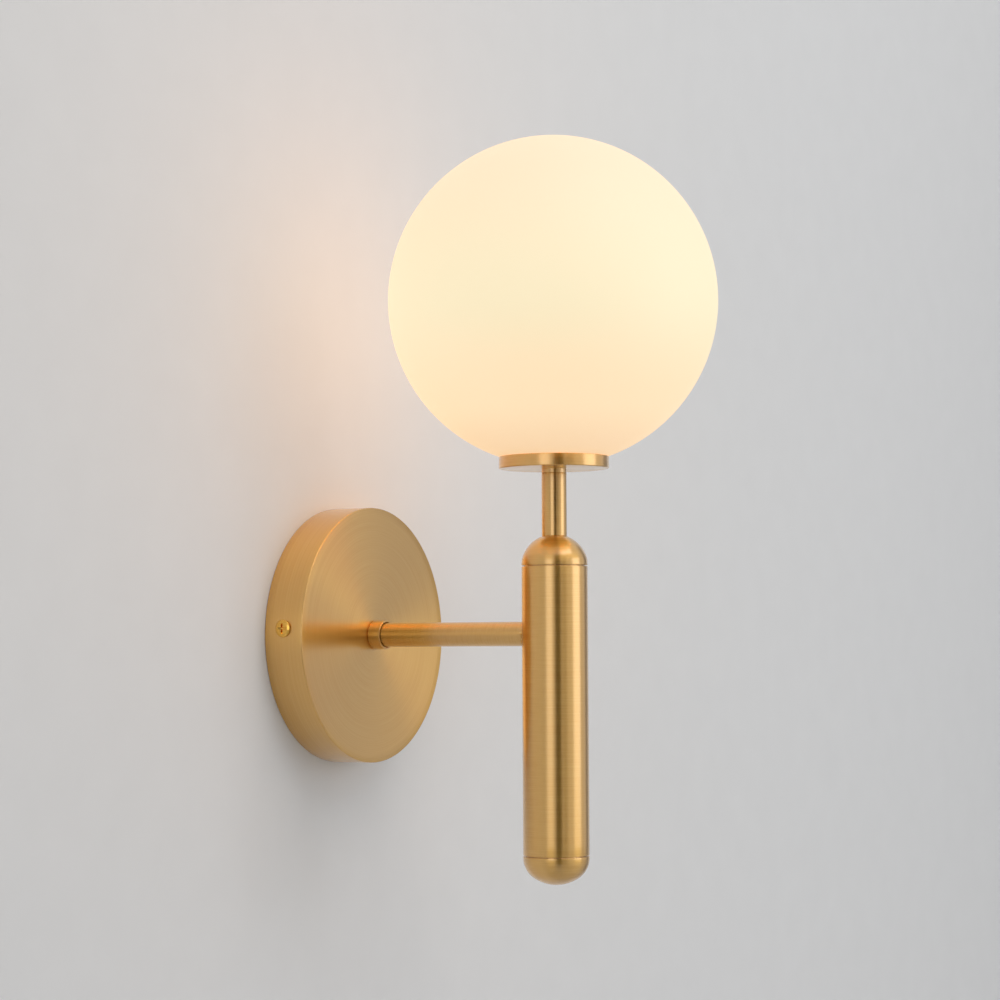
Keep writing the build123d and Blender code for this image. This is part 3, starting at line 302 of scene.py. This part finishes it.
column = add(turning, "ShaderNodeMath", {0: passed}, operation="FLOOR").outputs[0]
share = add(turning, "ShaderNodeMath", {0: column, 1: steps}, operation="DIVIDE").outputs[0]
angle = add(turning, "ShaderNodeMath", {0: share, 1: 2 * pi}, operation="MULTIPLY").outputs[0]
here = add(turning, "GeometryNodeInputPosition").outputs[0]
outline_spot = add(turning, "GeometryNodeSampleIndex", {
    "Geometry": given.outputs["Outline"], "Value": here, "Index": row},
    data_type="FLOAT_VECTOR", domain="POINT")
spot = add(turning, "ShaderNodeSeparateXYZ", {0: outline_spot.outputs[0]})
flat_spot = add(turning, "ShaderNodeCombineXYZ", {"X": spot.outputs["X"], "Z": spot.outputs["Z"]})
turned_spot = add(turning, "ShaderNodeVectorRotate", {
    "Vector": flat_spot.outputs[0], "Angle": angle}, rotation_type="Z_AXIS")

# %% [markdown]
# ### Grain, seam and corners
# The outline keeps its running length in Y, where the tree reads it for the grain. A sharp
# corner of the outline stays sharp: edges that bend by more than the crease angle are not
# smoothed. The last two nodes are Realize Instances and Set Material.

# %% Grain, seam and corners
GRAIN_RADIUS = 8 * MM
flat_grain = add(turning, "ShaderNodeCombineXYZ", {"X": GRAIN_RADIUS, "Z": spot.outputs["Y"]})
grain = add(turning, "ShaderNodeVectorRotate", {
    "Vector": flat_grain.outputs[0], "Angle": angle}, rotation_type="Z_AXIS")
with_uv = add(turning, "GeometryNodeStoreNamedAttribute", {
    "Geometry": grid.outputs["Mesh"], "Name": "UVMap", "Value": grid.outputs["UV Map"]},
    data_type="FLOAT2", domain="CORNER")
with_grain = add(turning, "GeometryNodeStoreNamedAttribute", {
    "Geometry": with_uv.outputs[0], "Name": "grain", "Value": grain.outputs[0]},
    data_type="FLOAT_VECTOR", domain="POINT")
turned = add(turning, "GeometryNodeSetPosition", {
    "Geometry": with_grain.outputs[0], "Position": turned_spot.outputs[0]})
closed = add(turning, "GeometryNodeMergeByDistance", {
    "Geometry": turned.outputs[0], "Distance": 0.002 * MM})
smooth = add(turning, "GeometryNodeSetShadeSmooth", {
    "Geometry": closed.outputs[0], "Shade Smooth": True}, domain="FACE")
bend = add(turning, "GeometryNodeInputMeshEdgeAngle").outputs["Unsigned Angle"]
sharp = add(turning, "FunctionNodeCompare", {0: bend, 1: given.outputs["Crease"]},
            operation="GREATER_THAN", data_type="FLOAT")
creased = add(turning, "GeometryNodeSetShadeSmooth", {
    "Geometry": smooth.outputs[0], "Selection": sharp.outputs[0], "Shade Smooth": False},
    domain="EDGE")
real = add(turning, "GeometryNodeRealizeInstances", {"Geometry": creased.outputs[0]})
dressed = add(turning, "GeometryNodeSetMaterial", {
    "Geometry": real.outputs[0], "Material": given.outputs["Finish"]})
add(turning, "NodeGroupOutput", {"Piece": dressed.outputs[0]})
print("turning tree has", len(turning.nodes), "nodes")

# %% [markdown]
# ## Running a tree
# A tree runs as a modifier. Its inputs are set by the sockets' identifiers before the object is
# first evaluated. The result is copied to a plain mesh. A piece is then handed over: it rides on
# its body, and the solids that it stands for are hidden.

# %% Run, place and hand over
def run_tree(tree, source, **values):
    """The plain mesh that a tree makes of a source mesh, with its named inputs."""
    holder = bpy.data.objects.new("holder", source)
    scene.collection.objects.link(holder)
    modifier = holder.modifiers.new("tree", "NODES")
    modifier.node_group = tree
    for item in tree.interface.items_tree:
        if item.in_out == "INPUT" and item.name in values:
            modifier[item.identifier] = values[item.name]
    bpy.context.view_layer.update()
    depsgraph = bpy.context.evaluated_depsgraph_get()
    mesh = bpy.data.meshes.new_from_object(holder.evaluated_get(depsgraph), depsgraph=depsgraph)
    bpy.data.objects.remove(holder)
    return mesh


def hand_over(name, mesh, body, replaced):
    """Makes the mesh a piece on a body, and hides the nodes that it stands for."""
    mesh.name = name
    piece = bpy.data.objects.new(name, mesh)
    scene.collection.objects.link(piece)
    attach(piece, body)
    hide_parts(*replaced)
    print(f"{name}: {len(mesh.polygons)} faces")
    return piece


# %% [markdown]
# ## Outlines
# An outline is a list of corners in millimetres, each a radius, a height and, if the real corner
# is broken, the radius of its round. A highlight needs a real round to catch, so even a crisp
# edge gets a few hundredths of a millimetre. Long runs are divided, so that shading stays even.

# %% Outline from corners
def softened(corners, steps=4):
    """The closed loop of corners with each round drawn as a short arc."""
    loop = []
    for i, corner in enumerate(corners):
        here = Vector(corner[:2])
        radius = corner[2] if len(corner) > 2 else 0.0
        before = Vector(corners[i - 1][:2]) - here
        after = Vector(corners[(i + 1) % len(corners)][:2]) - here
        if radius <= 0.0 or before.length < 1e-6 or after.length < 1e-6:
            loop.append(here)
            continue
        half = before.angle(after) / 2
        if half > radians(88):
            loop.append(here)
            continue
        reach = radius / tan(half)
        middle = (before.normalized() + after.normalized()).normalized()
        centre = here + middle * (radius / sin(half))
        start = here + before.normalized() * reach - centre
        end = here + after.normalized() * reach - centre
        sweep = start.angle_signed(end)
        for step in range(steps + 1):
            loop.append(centre + Matrix.Rotation(-sweep * step / steps, 2) @ start)
    return loop


def arc(centre, radius, first, last, steps):
    """Corners along an arc, from one angle to another in degrees."""
    turns = [radians(first + (last - first) * step / steps) for step in range(steps + 1)]
    return [(centre[0] + radius * cos(turn), centre[1] + radius * sin(turn)) for turn in turns]


def turned_mesh(corners, steps, metal, crease=40.0, longest=6.0):
    """The mesh turned round Z from corners in millimetres."""
    loop = softened(corners)
    area = sum(a.x * b.y - b.x * a.y for a, b in zip(loop, loop[1:] + loop[:1]))
    if area < 0:
        loop.reverse()
    loop.append(loop[0])
    spots, run = [(loop[0].x * MM, 0.0, loop[0].y * MM)], 0.0
    for a, b in zip(loop, loop[1:]):
        pieces = max(1, ceil((b - a).length / longest))
        for share in range(1, pieces + 1):
            spot = a.lerp(b, share / pieces)
            spots.append((spot.x * MM, (run + (b - a).length * share / pieces) * MM, spot.y * MM))
        run += (b - a).length
    outline = bpy.data.meshes.new("outline")
    outline.from_pydata(spots, [(i, i + 1) for i in range(len(spots) - 1)], [])
    return run_tree(turning, outline, Steps=steps, Crease=radians(crease), Finish=metal)


def turned_piece(name, corners, steps, body, slot, place, longest=6.0):
    """A whole turned piece, placed by a matrix, that stands for the node of its name."""
    mesh = turned_mesh(corners, steps, SLOT_FINISHES[slot], longest=longest)
    mesh.transform(place)
    return hand_over(f"{name}_turned", mesh, body, [name])


# %% [markdown]
# ## Sizes
# The sizes are the frame's. Radii and ends are read from the nodes' boxes, and the body's reach is
# printed; the small steps inside a piece, which a box can't show, are repeated from the part in
# millimetres.

# %% Places of the axes
def span(node, axis):
    """Lowest and highest place of a node along an axis, in millimetres."""
    low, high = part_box(node)
    return low[axis] / MM, high[axis] / MM


REACH = -sum(span("body_tube", 1)) / 2
upright = Matrix.Translation((0, -REACH * MM, 0))
outward = Matrix.Rotation(pi / 2, 4, "X")
print("body axis stands", round(REACH, 3), "mm from the wall")

# %% [markdown]
# ## Canopy
# The canopy is a shallow cup of spun brass with a flat face and an eased edge. It is brushed on
# a turning plate, so its lines are rings on the face and run round the rim. Turned with the
# height measured out from the wall, then laid on its side.

# %% Canopy
CANOPY_RADIUS = span("canopy", 0)[1]
CANOPY_DEPTH = -span("canopy", 1)[0]
CANOPY_WALL = 1.2
CANOPY_INSIDE = CANOPY_RADIUS - CANOPY_WALL
ROD_HOLE = 4.2
canopy_corners = [
    (ROD_HOLE, CANOPY_DEPTH - CANOPY_WALL), (CANOPY_INSIDE, CANOPY_DEPTH - CANOPY_WALL, 1.0),
    (CANOPY_INSIDE, 0, 0.1), (CANOPY_RADIUS, 0, 0.7), (CANOPY_RADIUS, CANOPY_DEPTH, 0.5),
    (ROD_HOLE, CANOPY_DEPTH),
]
turned_piece("canopy", canopy_corners, 256, "fixture", "satin_brass", outward, longest=4.0)

# %% [markdown]
# ## Collar
# The collar hides the joint of arm and canopy. Its foot has a small chamfer, its lip a smaller
# one, and its mouth is bored wider than the arm, which leaves a dark ring round the arm.

# %% Collar
COLLAR_RADIUS = span("arm_collar", 0)[1]
COLLAR_END = -span("arm_collar", 1)[0]
ARM_RADIUS = span("arm_tube", 0)[1]
ARM_START = -span("arm_tube", 1)[1]
FOOT_CHAMFER, LIP_CHAMFER = 0.6, 0.2
MOUTH_RADIUS, MOUTH_START, ARM_FIT = 6.1, ARM_START + 3.0, ARM_RADIUS + 0.05
collar_corners = [
    (ROD_HOLE, CANOPY_DEPTH), (COLLAR_RADIUS - FOOT_CHAMFER, CANOPY_DEPTH, 0.1),
    (COLLAR_RADIUS, CANOPY_DEPTH + FOOT_CHAMFER, 0.1),
    (COLLAR_RADIUS, COLLAR_END - LIP_CHAMFER, 0.06),
    (COLLAR_RADIUS - LIP_CHAMFER, COLLAR_END, 0.06),
    (MOUTH_RADIUS, COLLAR_END, 0.05), (MOUTH_RADIUS, MOUTH_START), (ARM_FIT, MOUTH_START),
    (ARM_FIT, ARM_START), (ROD_HOLE, ARM_START),
]
turned_piece("arm_collar", collar_corners, 96, "fixture", "satin_brass", outward)

# %% [markdown]
# ## Arm
# The arm is a tube whose far end is cut to a saddle that fits round the body. It is turned as a
# plain tube, and the ring at its far end is then moved on to the body's surface.

# %% Arm
BODY_RADIUS = span("body_tube", 0)[1]
SADDLE = BODY_RADIUS + 0.05
ARM_BORE = ARM_RADIUS - 1.2
arm_corners = [
    (ARM_RADIUS, ARM_START, 0.1), (ARM_RADIUS, REACH),
    (ARM_BORE, REACH), (ARM_BORE, ARM_START),
]
arm_mesh = turned_mesh(arm_corners, 96, satin_brass, longest=4.0)
arm_mesh.transform(outward)
arm_end = -(REACH - SADDLE) * MM
for vertex in arm_mesh.vertices:
    saddle_y = -REACH * MM + sqrt((SADDLE * MM) ** 2 - vertex.co.x ** 2)
    if vertex.co.y < arm_end:
        vertex.co.y = saddle_y
hand_over("arm_tube_turned", arm_mesh, "fixture", ["arm_tube"])

# %% [markdown]
# ## Body
# The body is a tube with a domed cap pressed into each end. A cap has a straight land by the
# seam, then a shoulder arc and a flatter crown arc. Between cap and tube is a fine turned
# groove, which shows as a dark line with a bright edge on each side.

# %% Body tube
BODY_LOW, BODY_HIGH = span("body_tube", 2)
BODY_BORE = BODY_RADIUS - 1.5
SEAM_GAP, SEAM_ROUND = 0.45, 0.2
body_corners = [
    (BODY_BORE, BODY_LOW), (BODY_RADIUS, BODY_LOW, SEAM_ROUND),
    (BODY_RADIUS, BODY_HIGH, SEAM_ROUND), (BODY_BORE, BODY_HIGH),
]
turned_piece("body_tube", body_corners, 160, "fixture", "satin_brass", upright, longest=5.0)

# %% [markdown]
# ## Domed caps
# Each cap has a spigot that fits the tube's bore, and is hollow above it. The top cap ends in a
# flat, outside for the stem and inside for the nut, with the rod's hole through both.

# %% Domed caps
LAND, SHOULDER, CAP_WALL, SPIGOT_WALL, SPIGOT_LENGTH = 1.2, 11.0, 2.5, 2.0, 6.0


def dome_arcs(radius, rise, shoulder, top=None):
    """Corners of a shoulder arc and a crown arc, above the land; a flat may cut the crown."""
    crown = ((radius - shoulder) ** 2 + rise ** 2 - shoulder ** 2) / (2 * (rise - shoulder))
    meet = atan2(crown - rise, radius - shoulder) * 180 / pi
    lower = arc((radius - shoulder, LAND), shoulder, 0, meet, 24)
    upper = arc((0, LAND + rise - crown), crown, meet, 90, 12)
    corners = lower + upper[1:]
    if top is None:
        return corners
    kept = [corner for corner in corners if corner[1] < top]
    edge = sqrt(crown ** 2 - (top - LAND - rise + crown) ** 2)
    return kept + [(edge, top)]


def dome_corners(height, hole, outer_flat=None, inner_flat=None):
    """Cap with its rim at zero: groove, land and dome outside, spigot and hollow inside."""
    spigot, neck = BODY_BORE - 0.05, BODY_RADIUS - 1.2
    inner = spigot - SPIGOT_WALL
    outside = dome_arcs(BODY_RADIUS, height - LAND, SHOULDER, outer_flat)
    inside = dome_arcs(inner, height - LAND - CAP_WALL, SHOULDER - BODY_RADIUS + inner, inner_flat)
    rim = [(neck, 0), (neck, SEAM_GAP), (BODY_RADIUS, SEAM_GAP, SEAM_ROUND)]
    skirt = [(inner, -SPIGOT_LENGTH), (spigot, -SPIGOT_LENGTH), (spigot, 0)]
    bore = [(hole, outer_flat), (hole, inner_flat)] if hole else []
    return skirt + rim + outside + bore + inside[::-1]


TOP_HEIGHT, BOTTOM_HEIGHT, NUT_SEAT = 14.8, 13.4, 9.1
STEM_LOW = span("stem_tube", 2)[0]
on_top = upright @ Matrix.Translation((0, 0, BODY_HIGH * MM))
top_corners = dome_corners(TOP_HEIGHT, ROD_HOLE, STEM_LOW - BODY_HIGH, NUT_SEAT)
turned_piece("top_dome", top_corners, 160, "fixture", "satin_brass", on_top)
below = upright @ Matrix.Translation((0, 0, BODY_LOW * MM)) @ Matrix.Rotation(pi, 4, "X")
turned_piece("bottom_dome", dome_corners(BOTTOM_HEIGHT, None), 160, "fixture", "satin_brass", below)

# %% [markdown]
# ## Stem
# A thin tube stands in the dome's flat top. Its ends have a small chamfer, which catches a fine
# line of light where it meets the dome and the disc's hub.

# %% Stem
STEM_RADIUS = span("stem_tube", 0)[1]
STEM_HIGH = span("stem_tube", 2)[1]
STEM_BORE, STEM_CHAMFER = STEM_RADIUS - 1.3, 0.2
stem_corners = [
    (STEM_BORE, STEM_LOW), (STEM_RADIUS - STEM_CHAMFER, STEM_LOW, 0.05),
    (STEM_RADIUS, STEM_LOW + STEM_CHAMFER, 0.1), (STEM_RADIUS, STEM_HIGH - STEM_CHAMFER, 0.1),
    (STEM_RADIUS - STEM_CHAMFER, STEM_HIGH, 0.05), (STEM_BORE, STEM_HIGH),
]
turned_piece("stem_tube", stem_corners, 96, "fixture", "satin_brass", upright, longest=4.0)

# %% [markdown]
# ## Disc
# The disc is a shallow dish on a short hub. Its rim is cut to the curve of the globe, with a
# narrow even gap. Rim and underside are brushed.

# %% Disc
DISC_RADIUS = span("shade_cup", 0)[1]
DISC_BOTTOM, DISC_FLOOR, DISC_RIM = STEM_HIGH + 2.0, STEM_HIGH + 3.5, DISC_RADIUS - 1.5
GLOBE_RADIUS = span("globe", 0)[1]
GLOBE_CENTRE = span("globe", 2)[1] - GLOBE_RADIUS


def globe_curve(radius, gap=0.3):
    """Height of the globe's underside, less a gap, at a radius from the axis."""
    return GLOBE_CENTRE - sqrt((GLOBE_RADIUS + gap) ** 2 - radius ** 2)


disc_corners = [
    (ROD_HOLE, STEM_HIGH), (STEM_RADIUS, STEM_HIGH, 0.12), (STEM_RADIUS, DISC_BOTTOM, 0.15),
    (DISC_RADIUS - 0.3, DISC_BOTTOM, 0.12), (DISC_RADIUS, DISC_BOTTOM + 0.3, 0.12),
    (DISC_RADIUS, globe_curve(DISC_RADIUS), 0.12), (DISC_RIM, globe_curve(DISC_RIM), 0.08),
    (DISC_RIM, DISC_FLOOR, 0.2), (ROD_HOLE, DISC_FLOOR),
]
turned_piece("shade_cup", disc_corners, 192, "fixture", "satin_brass", upright, longest=3.0)

# %% [markdown]
# ## Threaded rods
# A hollow steel rod with a 1 mm thread runs through the arm, and another through the stem. They
# carry the wires and the nuts pull the pieces together on them. A thread is a helix, but at this
# pitch rings look the same, and rings can be turned from an outline with one tooth a pitch.

# %% Threaded rods
THREAD_PITCH, THREAD_DEPTH, CREST, ROD_BORE = 1.0, 0.55, 0.12, 2.75


def threaded_rod(name, axis, place):
    """A hollow rod along a body axis, with a tooth for every pitch."""
    low, high = sorted(abs(end) for end in span(name, axis))
    radius = span(name, 0)[1]
    teeth = round((high - low) / THREAD_PITCH)
    pitch = (high - low) / teeth
    outside, root = [], radius - THREAD_DEPTH
    for tooth in range(teeth):
        foot = low + tooth * pitch
        crest = foot + pitch * (1 - CREST) / 2
        outside += [(root, foot), (radius, crest), (radius, crest + CREST * pitch)]
    corners = [(ROD_BORE, low)] + outside + [(root, high), (ROD_BORE, high)]
    turned_piece(name, corners, 48, "fixture", "zinc_steel", place)


threaded_rod("arm_rod", 1, outward)
threaded_rod("stem_rod", 2, upright)

# %% [markdown]
# ## Globe
# The globe is one blown ball of even wall with a ground hole below. It is turned like the rest:
# an outer arc from the hole's edge to the top, an inner arc back, and the ground edge between.

# %% Globe
GLOBE_WALL, HOLE_RADIUS, GROUND_ROUND = 2.2, 19.5, 0.2


def globe_arc(radius, turns):
    """The arc from the hole's edge to the top, on a ball of this radius."""
    hole_angle = -90 + atan2(HOLE_RADIUS, sqrt(radius ** 2 - HOLE_RADIUS ** 2)) * 180 / pi
    return arc((0, GLOBE_CENTRE), radius, hole_angle, 90, turns)


outer_arc = globe_arc(GLOBE_RADIUS, 110)
inner_arc = globe_arc(GLOBE_RADIUS - GLOBE_WALL, 70)
globe_corners = ([(*outer_arc[0], GROUND_ROUND)] + outer_arc[1:]
                 + inner_arc[:0:-1] + [(*inner_arc[0], GROUND_ROUND)])
globe = turned_piece("globe", globe_corners, 192, "globe", "opal_glass", upright)

# %% [markdown]
# ## Side screws
# Two bright flat-headed screws hold the canopy, one on each side. A head is turned like the
# other pieces, with a thin shadow gap below it; its cross is cut with a boolean, as a punch
# would. One screw is made and Geometry Nodes set it on the two sides of the canopy.

# %% One screw
HEAD_RADIUS, HEAD_HEIGHT, SHANK_RADIUS, SHANK_LENGTH = 4.0, 1.3, 2.0, 8.0
SCREW_OUT, SCREW_RISE = 10.5, 3.0
GAP_RADIUS, GAP_HALF = HEAD_RADIUS - 0.55, 0.3
head_corners = [
    (0, -SHANK_LENGTH), (SHANK_RADIUS - 0.4, -SHANK_LENGTH), (SHANK_RADIUS, -SHANK_LENGTH + 0.6),
    (SHANK_RADIUS, -GAP_HALF), (GAP_RADIUS, -GAP_HALF), (GAP_RADIUS, GAP_HALF),
    (HEAD_RADIUS, GAP_HALF, 0.08), (HEAD_RADIUS, 0.75, 0.3),
    (HEAD_RADIUS - 1.1, HEAD_HEIGHT - 0.08, 0.9), (0, HEAD_HEIGHT),
]
screw_mesh = turned_mesh(head_corners, 64, bright_brass, longest=1.0)
screw = bpy.data.objects.new("screw", screw_mesh)
scene.collection.objects.link(screw)
cross = bpy.data.meshes.new("cross")
CROSS_REACH, CROSS_HALF, CROSS_DEPTH = 2.6, 0.55, 1.1
spots, faces = [], []
for wide, thick in ((CROSS_REACH, CROSS_HALF), (CROSS_HALF, CROSS_REACH)):
    first = len(spots)
    for level_z, share in ((HEAD_HEIGHT + 0.5, 1.1), (HEAD_HEIGHT - CROSS_DEPTH, 0.5)):
        for x, y in ((-1, -1), (1, -1), (1, 1), (-1, 1)):
            spots.append((x * wide * share * MM, y * thick * share * MM, level_z * MM))
    faces += [[first + i for i in face] for face in
              ((0, 1, 2, 3), (7, 6, 5, 4), (0, 4, 5, 1), (1, 5, 6, 2), (2, 6, 7, 3), (3, 7, 4, 0))]
cross.from_pydata(spots, [], faces)
cutter = bpy.data.objects.new("cross", cross)
scene.collection.objects.link(cutter)
punch = screw.modifiers.new("punch", "BOOLEAN")
punch.operation, punch.object, punch.solver, punch.use_self = "DIFFERENCE", cutter, "EXACT", True
bpy.context.view_layer.update()
depsgraph = bpy.context.evaluated_depsgraph_get()
one_screw = bpy.data.meshes.new_from_object(screw.evaluated_get(depsgraph))
bpy.data.objects.remove(screw)
bpy.data.objects.remove(cutter)
print("one screw has", len(one_screw.polygons), "faces")

# %% [markdown]
# ### Screws on both sides
# A two-point line gives the screws' seats, and a copy stands on each, tilted outwards.

# %% Tree that sets screws on both sides
setting = bpy.data.node_groups.new("screws_on_both_sides", "GeometryNodeTree")
for label, kind, way in (
        ("Screw", "NodeSocketGeometry", "INPUT"), ("Out To Seat", "NodeSocketFloat", "INPUT"),
        ("Off Wall", "NodeSocketFloat", "INPUT"), ("Rise", "NodeSocketFloat", "INPUT"),
        ("Finish", "NodeSocketMaterial", "INPUT"), ("Screws", "NodeSocketGeometry", "OUTPUT")):
    setting.interface.new_socket(label, in_out=way, socket_type=kind)
given = add(setting, "NodeGroupInput")
seat = add(setting, "ShaderNodeCombineXYZ", {
    "X": given.outputs["Out To Seat"], "Y": given.outputs["Off Wall"],
    "Z": given.outputs["Rise"]}).outputs[0]
near_seat = add(setting, "ShaderNodeVectorMath", {0: seat, 1: (1, -1, 1)}, operation="MULTIPLY")
far_seat = add(setting, "ShaderNodeVectorMath", {0: seat, 1: (-1, -1, 1)}, operation="MULTIPLY")
sides = add(setting, "GeometryNodeMeshLine", {
    "Count": 2, "Start Location": near_seat.outputs[0], "Offset": far_seat.outputs[0]},
    mode="END_POINTS")
index = add(setting, "GeometryNodeInputIndex").outputs[0]
half_turns = add(setting, "ShaderNodeMath", {0: index, 1: -pi}, operation="MULTIPLY").outputs[0]
tilt = add(setting, "ShaderNodeMath", {0: half_turns, 1: pi / 2}, operation="ADD").outputs[0]
lean = add(setting, "ShaderNodeCombineXYZ", {"Y": tilt}).outputs[0]
set_screws = add(setting, "GeometryNodeInstanceOnPoints", {
    "Points": sides.outputs[0], "Instance": given.outputs["Screw"], "Rotation": lean})
real = add(setting, "GeometryNodeRealizeInstances", {"Geometry": set_screws.outputs[0]})
dressed = add(setting, "GeometryNodeSetMaterial", {
    "Geometry": real.outputs[0], "Material": given.outputs["Finish"]})
add(setting, "NodeGroupOutput", {"Screws": dressed.outputs[0]})
screws_mesh = run_tree(setting, one_screw, **{
    "Out To Seat": CANOPY_RADIUS * MM, "Off Wall": SCREW_OUT * MM, "Rise": SCREW_RISE * MM,
    "Finish": bright_brass})
hand_over("canopy_screws_set", screws_mesh, "fixture", ["canopy_screws"])

# %% [markdown]
# ## Wall, floor and light
# The sconce hangs on a pale, faintly uneven wall. The wall stops just under the canopy's rim
# and is clear from behind, so the canopy's inside can be looked at from there. A floor lies far
# below.

# %% Wall and floor
def plaster(name, dark, light, clear_behind):
    """Smooth painted plaster, clear from behind where the canopy's inside has to show."""
    material, tree, shader = finish(name, light, 0.85, IOR=1.45)
    place = add(tree, "ShaderNodeTexCoord").outputs["Object"]
    dress(tree, shader, place, [25 * MM] * 3, dark, light, (0.8, 0.9), 0.006 * MM, 8.0)
    if clear_behind:
        behind = add(tree, "ShaderNodeNewGeometry").outputs["Backfacing"]
        clear = add(tree, "ShaderNodeBsdfTransparent").outputs[0]
        either = add(tree, "ShaderNodeMixShader", {0: behind, 1: shader.outputs[0], 2: clear})
        tree.links.new(either.outputs[0], tree.nodes["Material Output"].inputs[0])
    return material


ROOM, FLOOR_DROP, RING_STEPS = 4.0, 0.7, 256
OPENING = (CANOPY_RADIUS - 1.0) * MM
turns = [2 * pi * step / RING_STEPS for step in range(RING_STEPS)]
wall_mesh = bpy.data.meshes.new("wall")
wall_mesh.from_pydata(
    [(cos(turn) * radius, 0, sin(turn) * radius) for radius in (OPENING, ROOM) for turn in turns],
    [], [(i, RING_STEPS + i, RING_STEPS + (i + 1) % RING_STEPS, (i + 1) % RING_STEPS)
         for i in range(RING_STEPS)])
wall_mesh.materials.append(plaster("pale_wall", "#E5E5E5", "#E7E7E7", True))
floor_mesh = bpy.data.meshes.new("floor")
floor_mesh.from_pydata([(x, y, -FLOOR_DROP) for x, y in (
    (-ROOM, -ROOM), (ROOM, -ROOM), (ROOM, 0), (-ROOM, 0))], [], [(0, 1, 2, 3)])
floor_mesh.materials.append(plaster("pale_floor", "#C6C6C5", "#CACAC9", False))
for mesh in (wall_mesh, floor_mesh):
    thing = bpy.data.objects.new(mesh.name, mesh)
    scene.collection.objects.link(thing)
    print(mesh.name, "faces", mesh.polygons[0].normal[:])

# %% [markdown]
# ### Room and panels
# The light is an even, pale room with soft panels. A panel's watts are worked out from how
# bright it should look, so that the numbers can be compared with the room's: a wall of colour
# 0.8 should come out at about 0.8. A cylinder shows each panel as an upright band.

# %% Room and panels
world = bpy.data.worlds.new("room")
world.use_nodes = True
ROOM_LEVEL = 0.69
background = world.node_tree.nodes["Background"]
background.inputs["Color"].default_value = (1.0, 1.0, 1.0, 1.0)
background.inputs["Strength"].default_value = ROOM_LEVEL
scene.world = world


def panel(name, spot, aim, width, height, brightness, colour="#FFFFFF"):
    """A soft panel that looks this bright from the front."""
    light = bpy.data.lights.new(name, "AREA")
    light.shape, light.size, light.size_y = "RECTANGLE", width, height
    light.energy = brightness * pi * width * height
    light.color = linear(colour)[:3]
    turn = (Vector(aim) - Vector(spot)).to_track_quat("-Z", "Y").to_matrix().to_4x4()
    thing = bpy.data.objects.new(name, light)
    thing.matrix_world = Matrix.Translation(spot) @ turn
    thing.visible_camera = False
    scene.collection.objects.link(thing)
    print(name, "gives", round(light.energy, 2), "W")


MIDDLE = (0.0, -0.1, 0.05)
panel("front_panel", (0.83, -2.38, 0.3), MIDDLE, 1.35, 1.1, 1.5, "#F4F8FF")
panel("left_panel", (-2.2, -0.5, 0.25), MIDDLE, 0.85, 1.0, 0.95)
panel("top_panel", (-0.1, -1.5, 2.2), MIDDLE, 1.8, 1.6, 1.6)

# %% [markdown]
# ### Felt cards
# Brass looks like brass only where it also mirrors something dark. Three tall felt cards stand
# to the right of the camera's place: a dark one, a pale one beside it, so that the band in the
# body fades, and a grey one far to the right, near the wall. No camera sees them, the metal does.

# %% Felt cards
def felt_card(name, dark, light, azimuth, half_width, half_height, distance=1.4):
    """An upright felt card that faces the body, out of sight of every camera."""
    felt, tree, shader = finish(name + "_felt", dark, 0.9)
    place = add(tree, "ShaderNodeTexCoord").outputs["Object"]
    dress(tree, shader, place, [3 * MM] * 3, dark, light, (0.85, 0.95), 0.1 * MM)
    out = Vector((sin(radians(azimuth)), -cos(radians(azimuth)), 0))
    middle = Vector((0, -REACH * MM, 0.05)) + out * distance
    side, up = Vector((0, 0, 1)).cross(out) * half_width, Vector((0, 0, half_height))
    mesh = bpy.data.meshes.new(name)
    corners = [middle - side - up, middle + side - up, middle + side + up, middle - side + up]
    mesh.from_pydata(corners, [], [(3, 2, 1, 0)])
    mesh.materials.append(felt)
    card = bpy.data.objects.new(name, mesh)
    card.visible_camera = False
    scene.collection.objects.link(card)
    print(name, "faces", [round(value, 2) for value in mesh.polygons[0].normal])


felt_card("dark_card", "#141414", "#1A1A1A", -50.5, 0.26, 1.1)
felt_card("pale_card", "#C6C6C6", "#CECECE", -27.5, 0.22, 1.1, 1.5)
felt_card("grey_card", "#ACACAC", "#B4B4B4", 76, 0.28, 0.9)

# %% [markdown]
# ### Lamp glow
# The lamp's warm light falls on the wall and the brass. The globe's skin shines at the level the
# photograph shows, which is held back there; the light that it throws is stronger. A ball of
# light, a little smaller than the globe, stands in its middle, and the globe casts no shadow, so
# that its light comes out. The watts follow from how bright the ball looks, as a panel's do.

# %% Lamp glow
GLOW_RADIUS, GLOW_BRIGHTNESS = 70 * MM, 0.45
glow = bpy.data.lights.new("lamp_glow", "POINT")
glow.shadow_soft_size = GLOW_RADIUS
glow.use_soft_falloff = False
glow.cycles.use_multiple_importance_sampling = False
glow.energy = GLOW_BRIGHTNESS * 4 * pi ** 2 * GLOW_RADIUS ** 2
glow.color = linear("#FF7A1A")[:3]
glow_object = bpy.data.objects.new("lamp_glow", glow)
glow_object.location = (0, -REACH * MM, GLOBE_CENTRE * MM)
glow_object.visible_camera = False
scene.collection.objects.link(glow_object)
globe.visible_shadow = False
print("lamp glow gives", round(glow.energy, 3), "W")
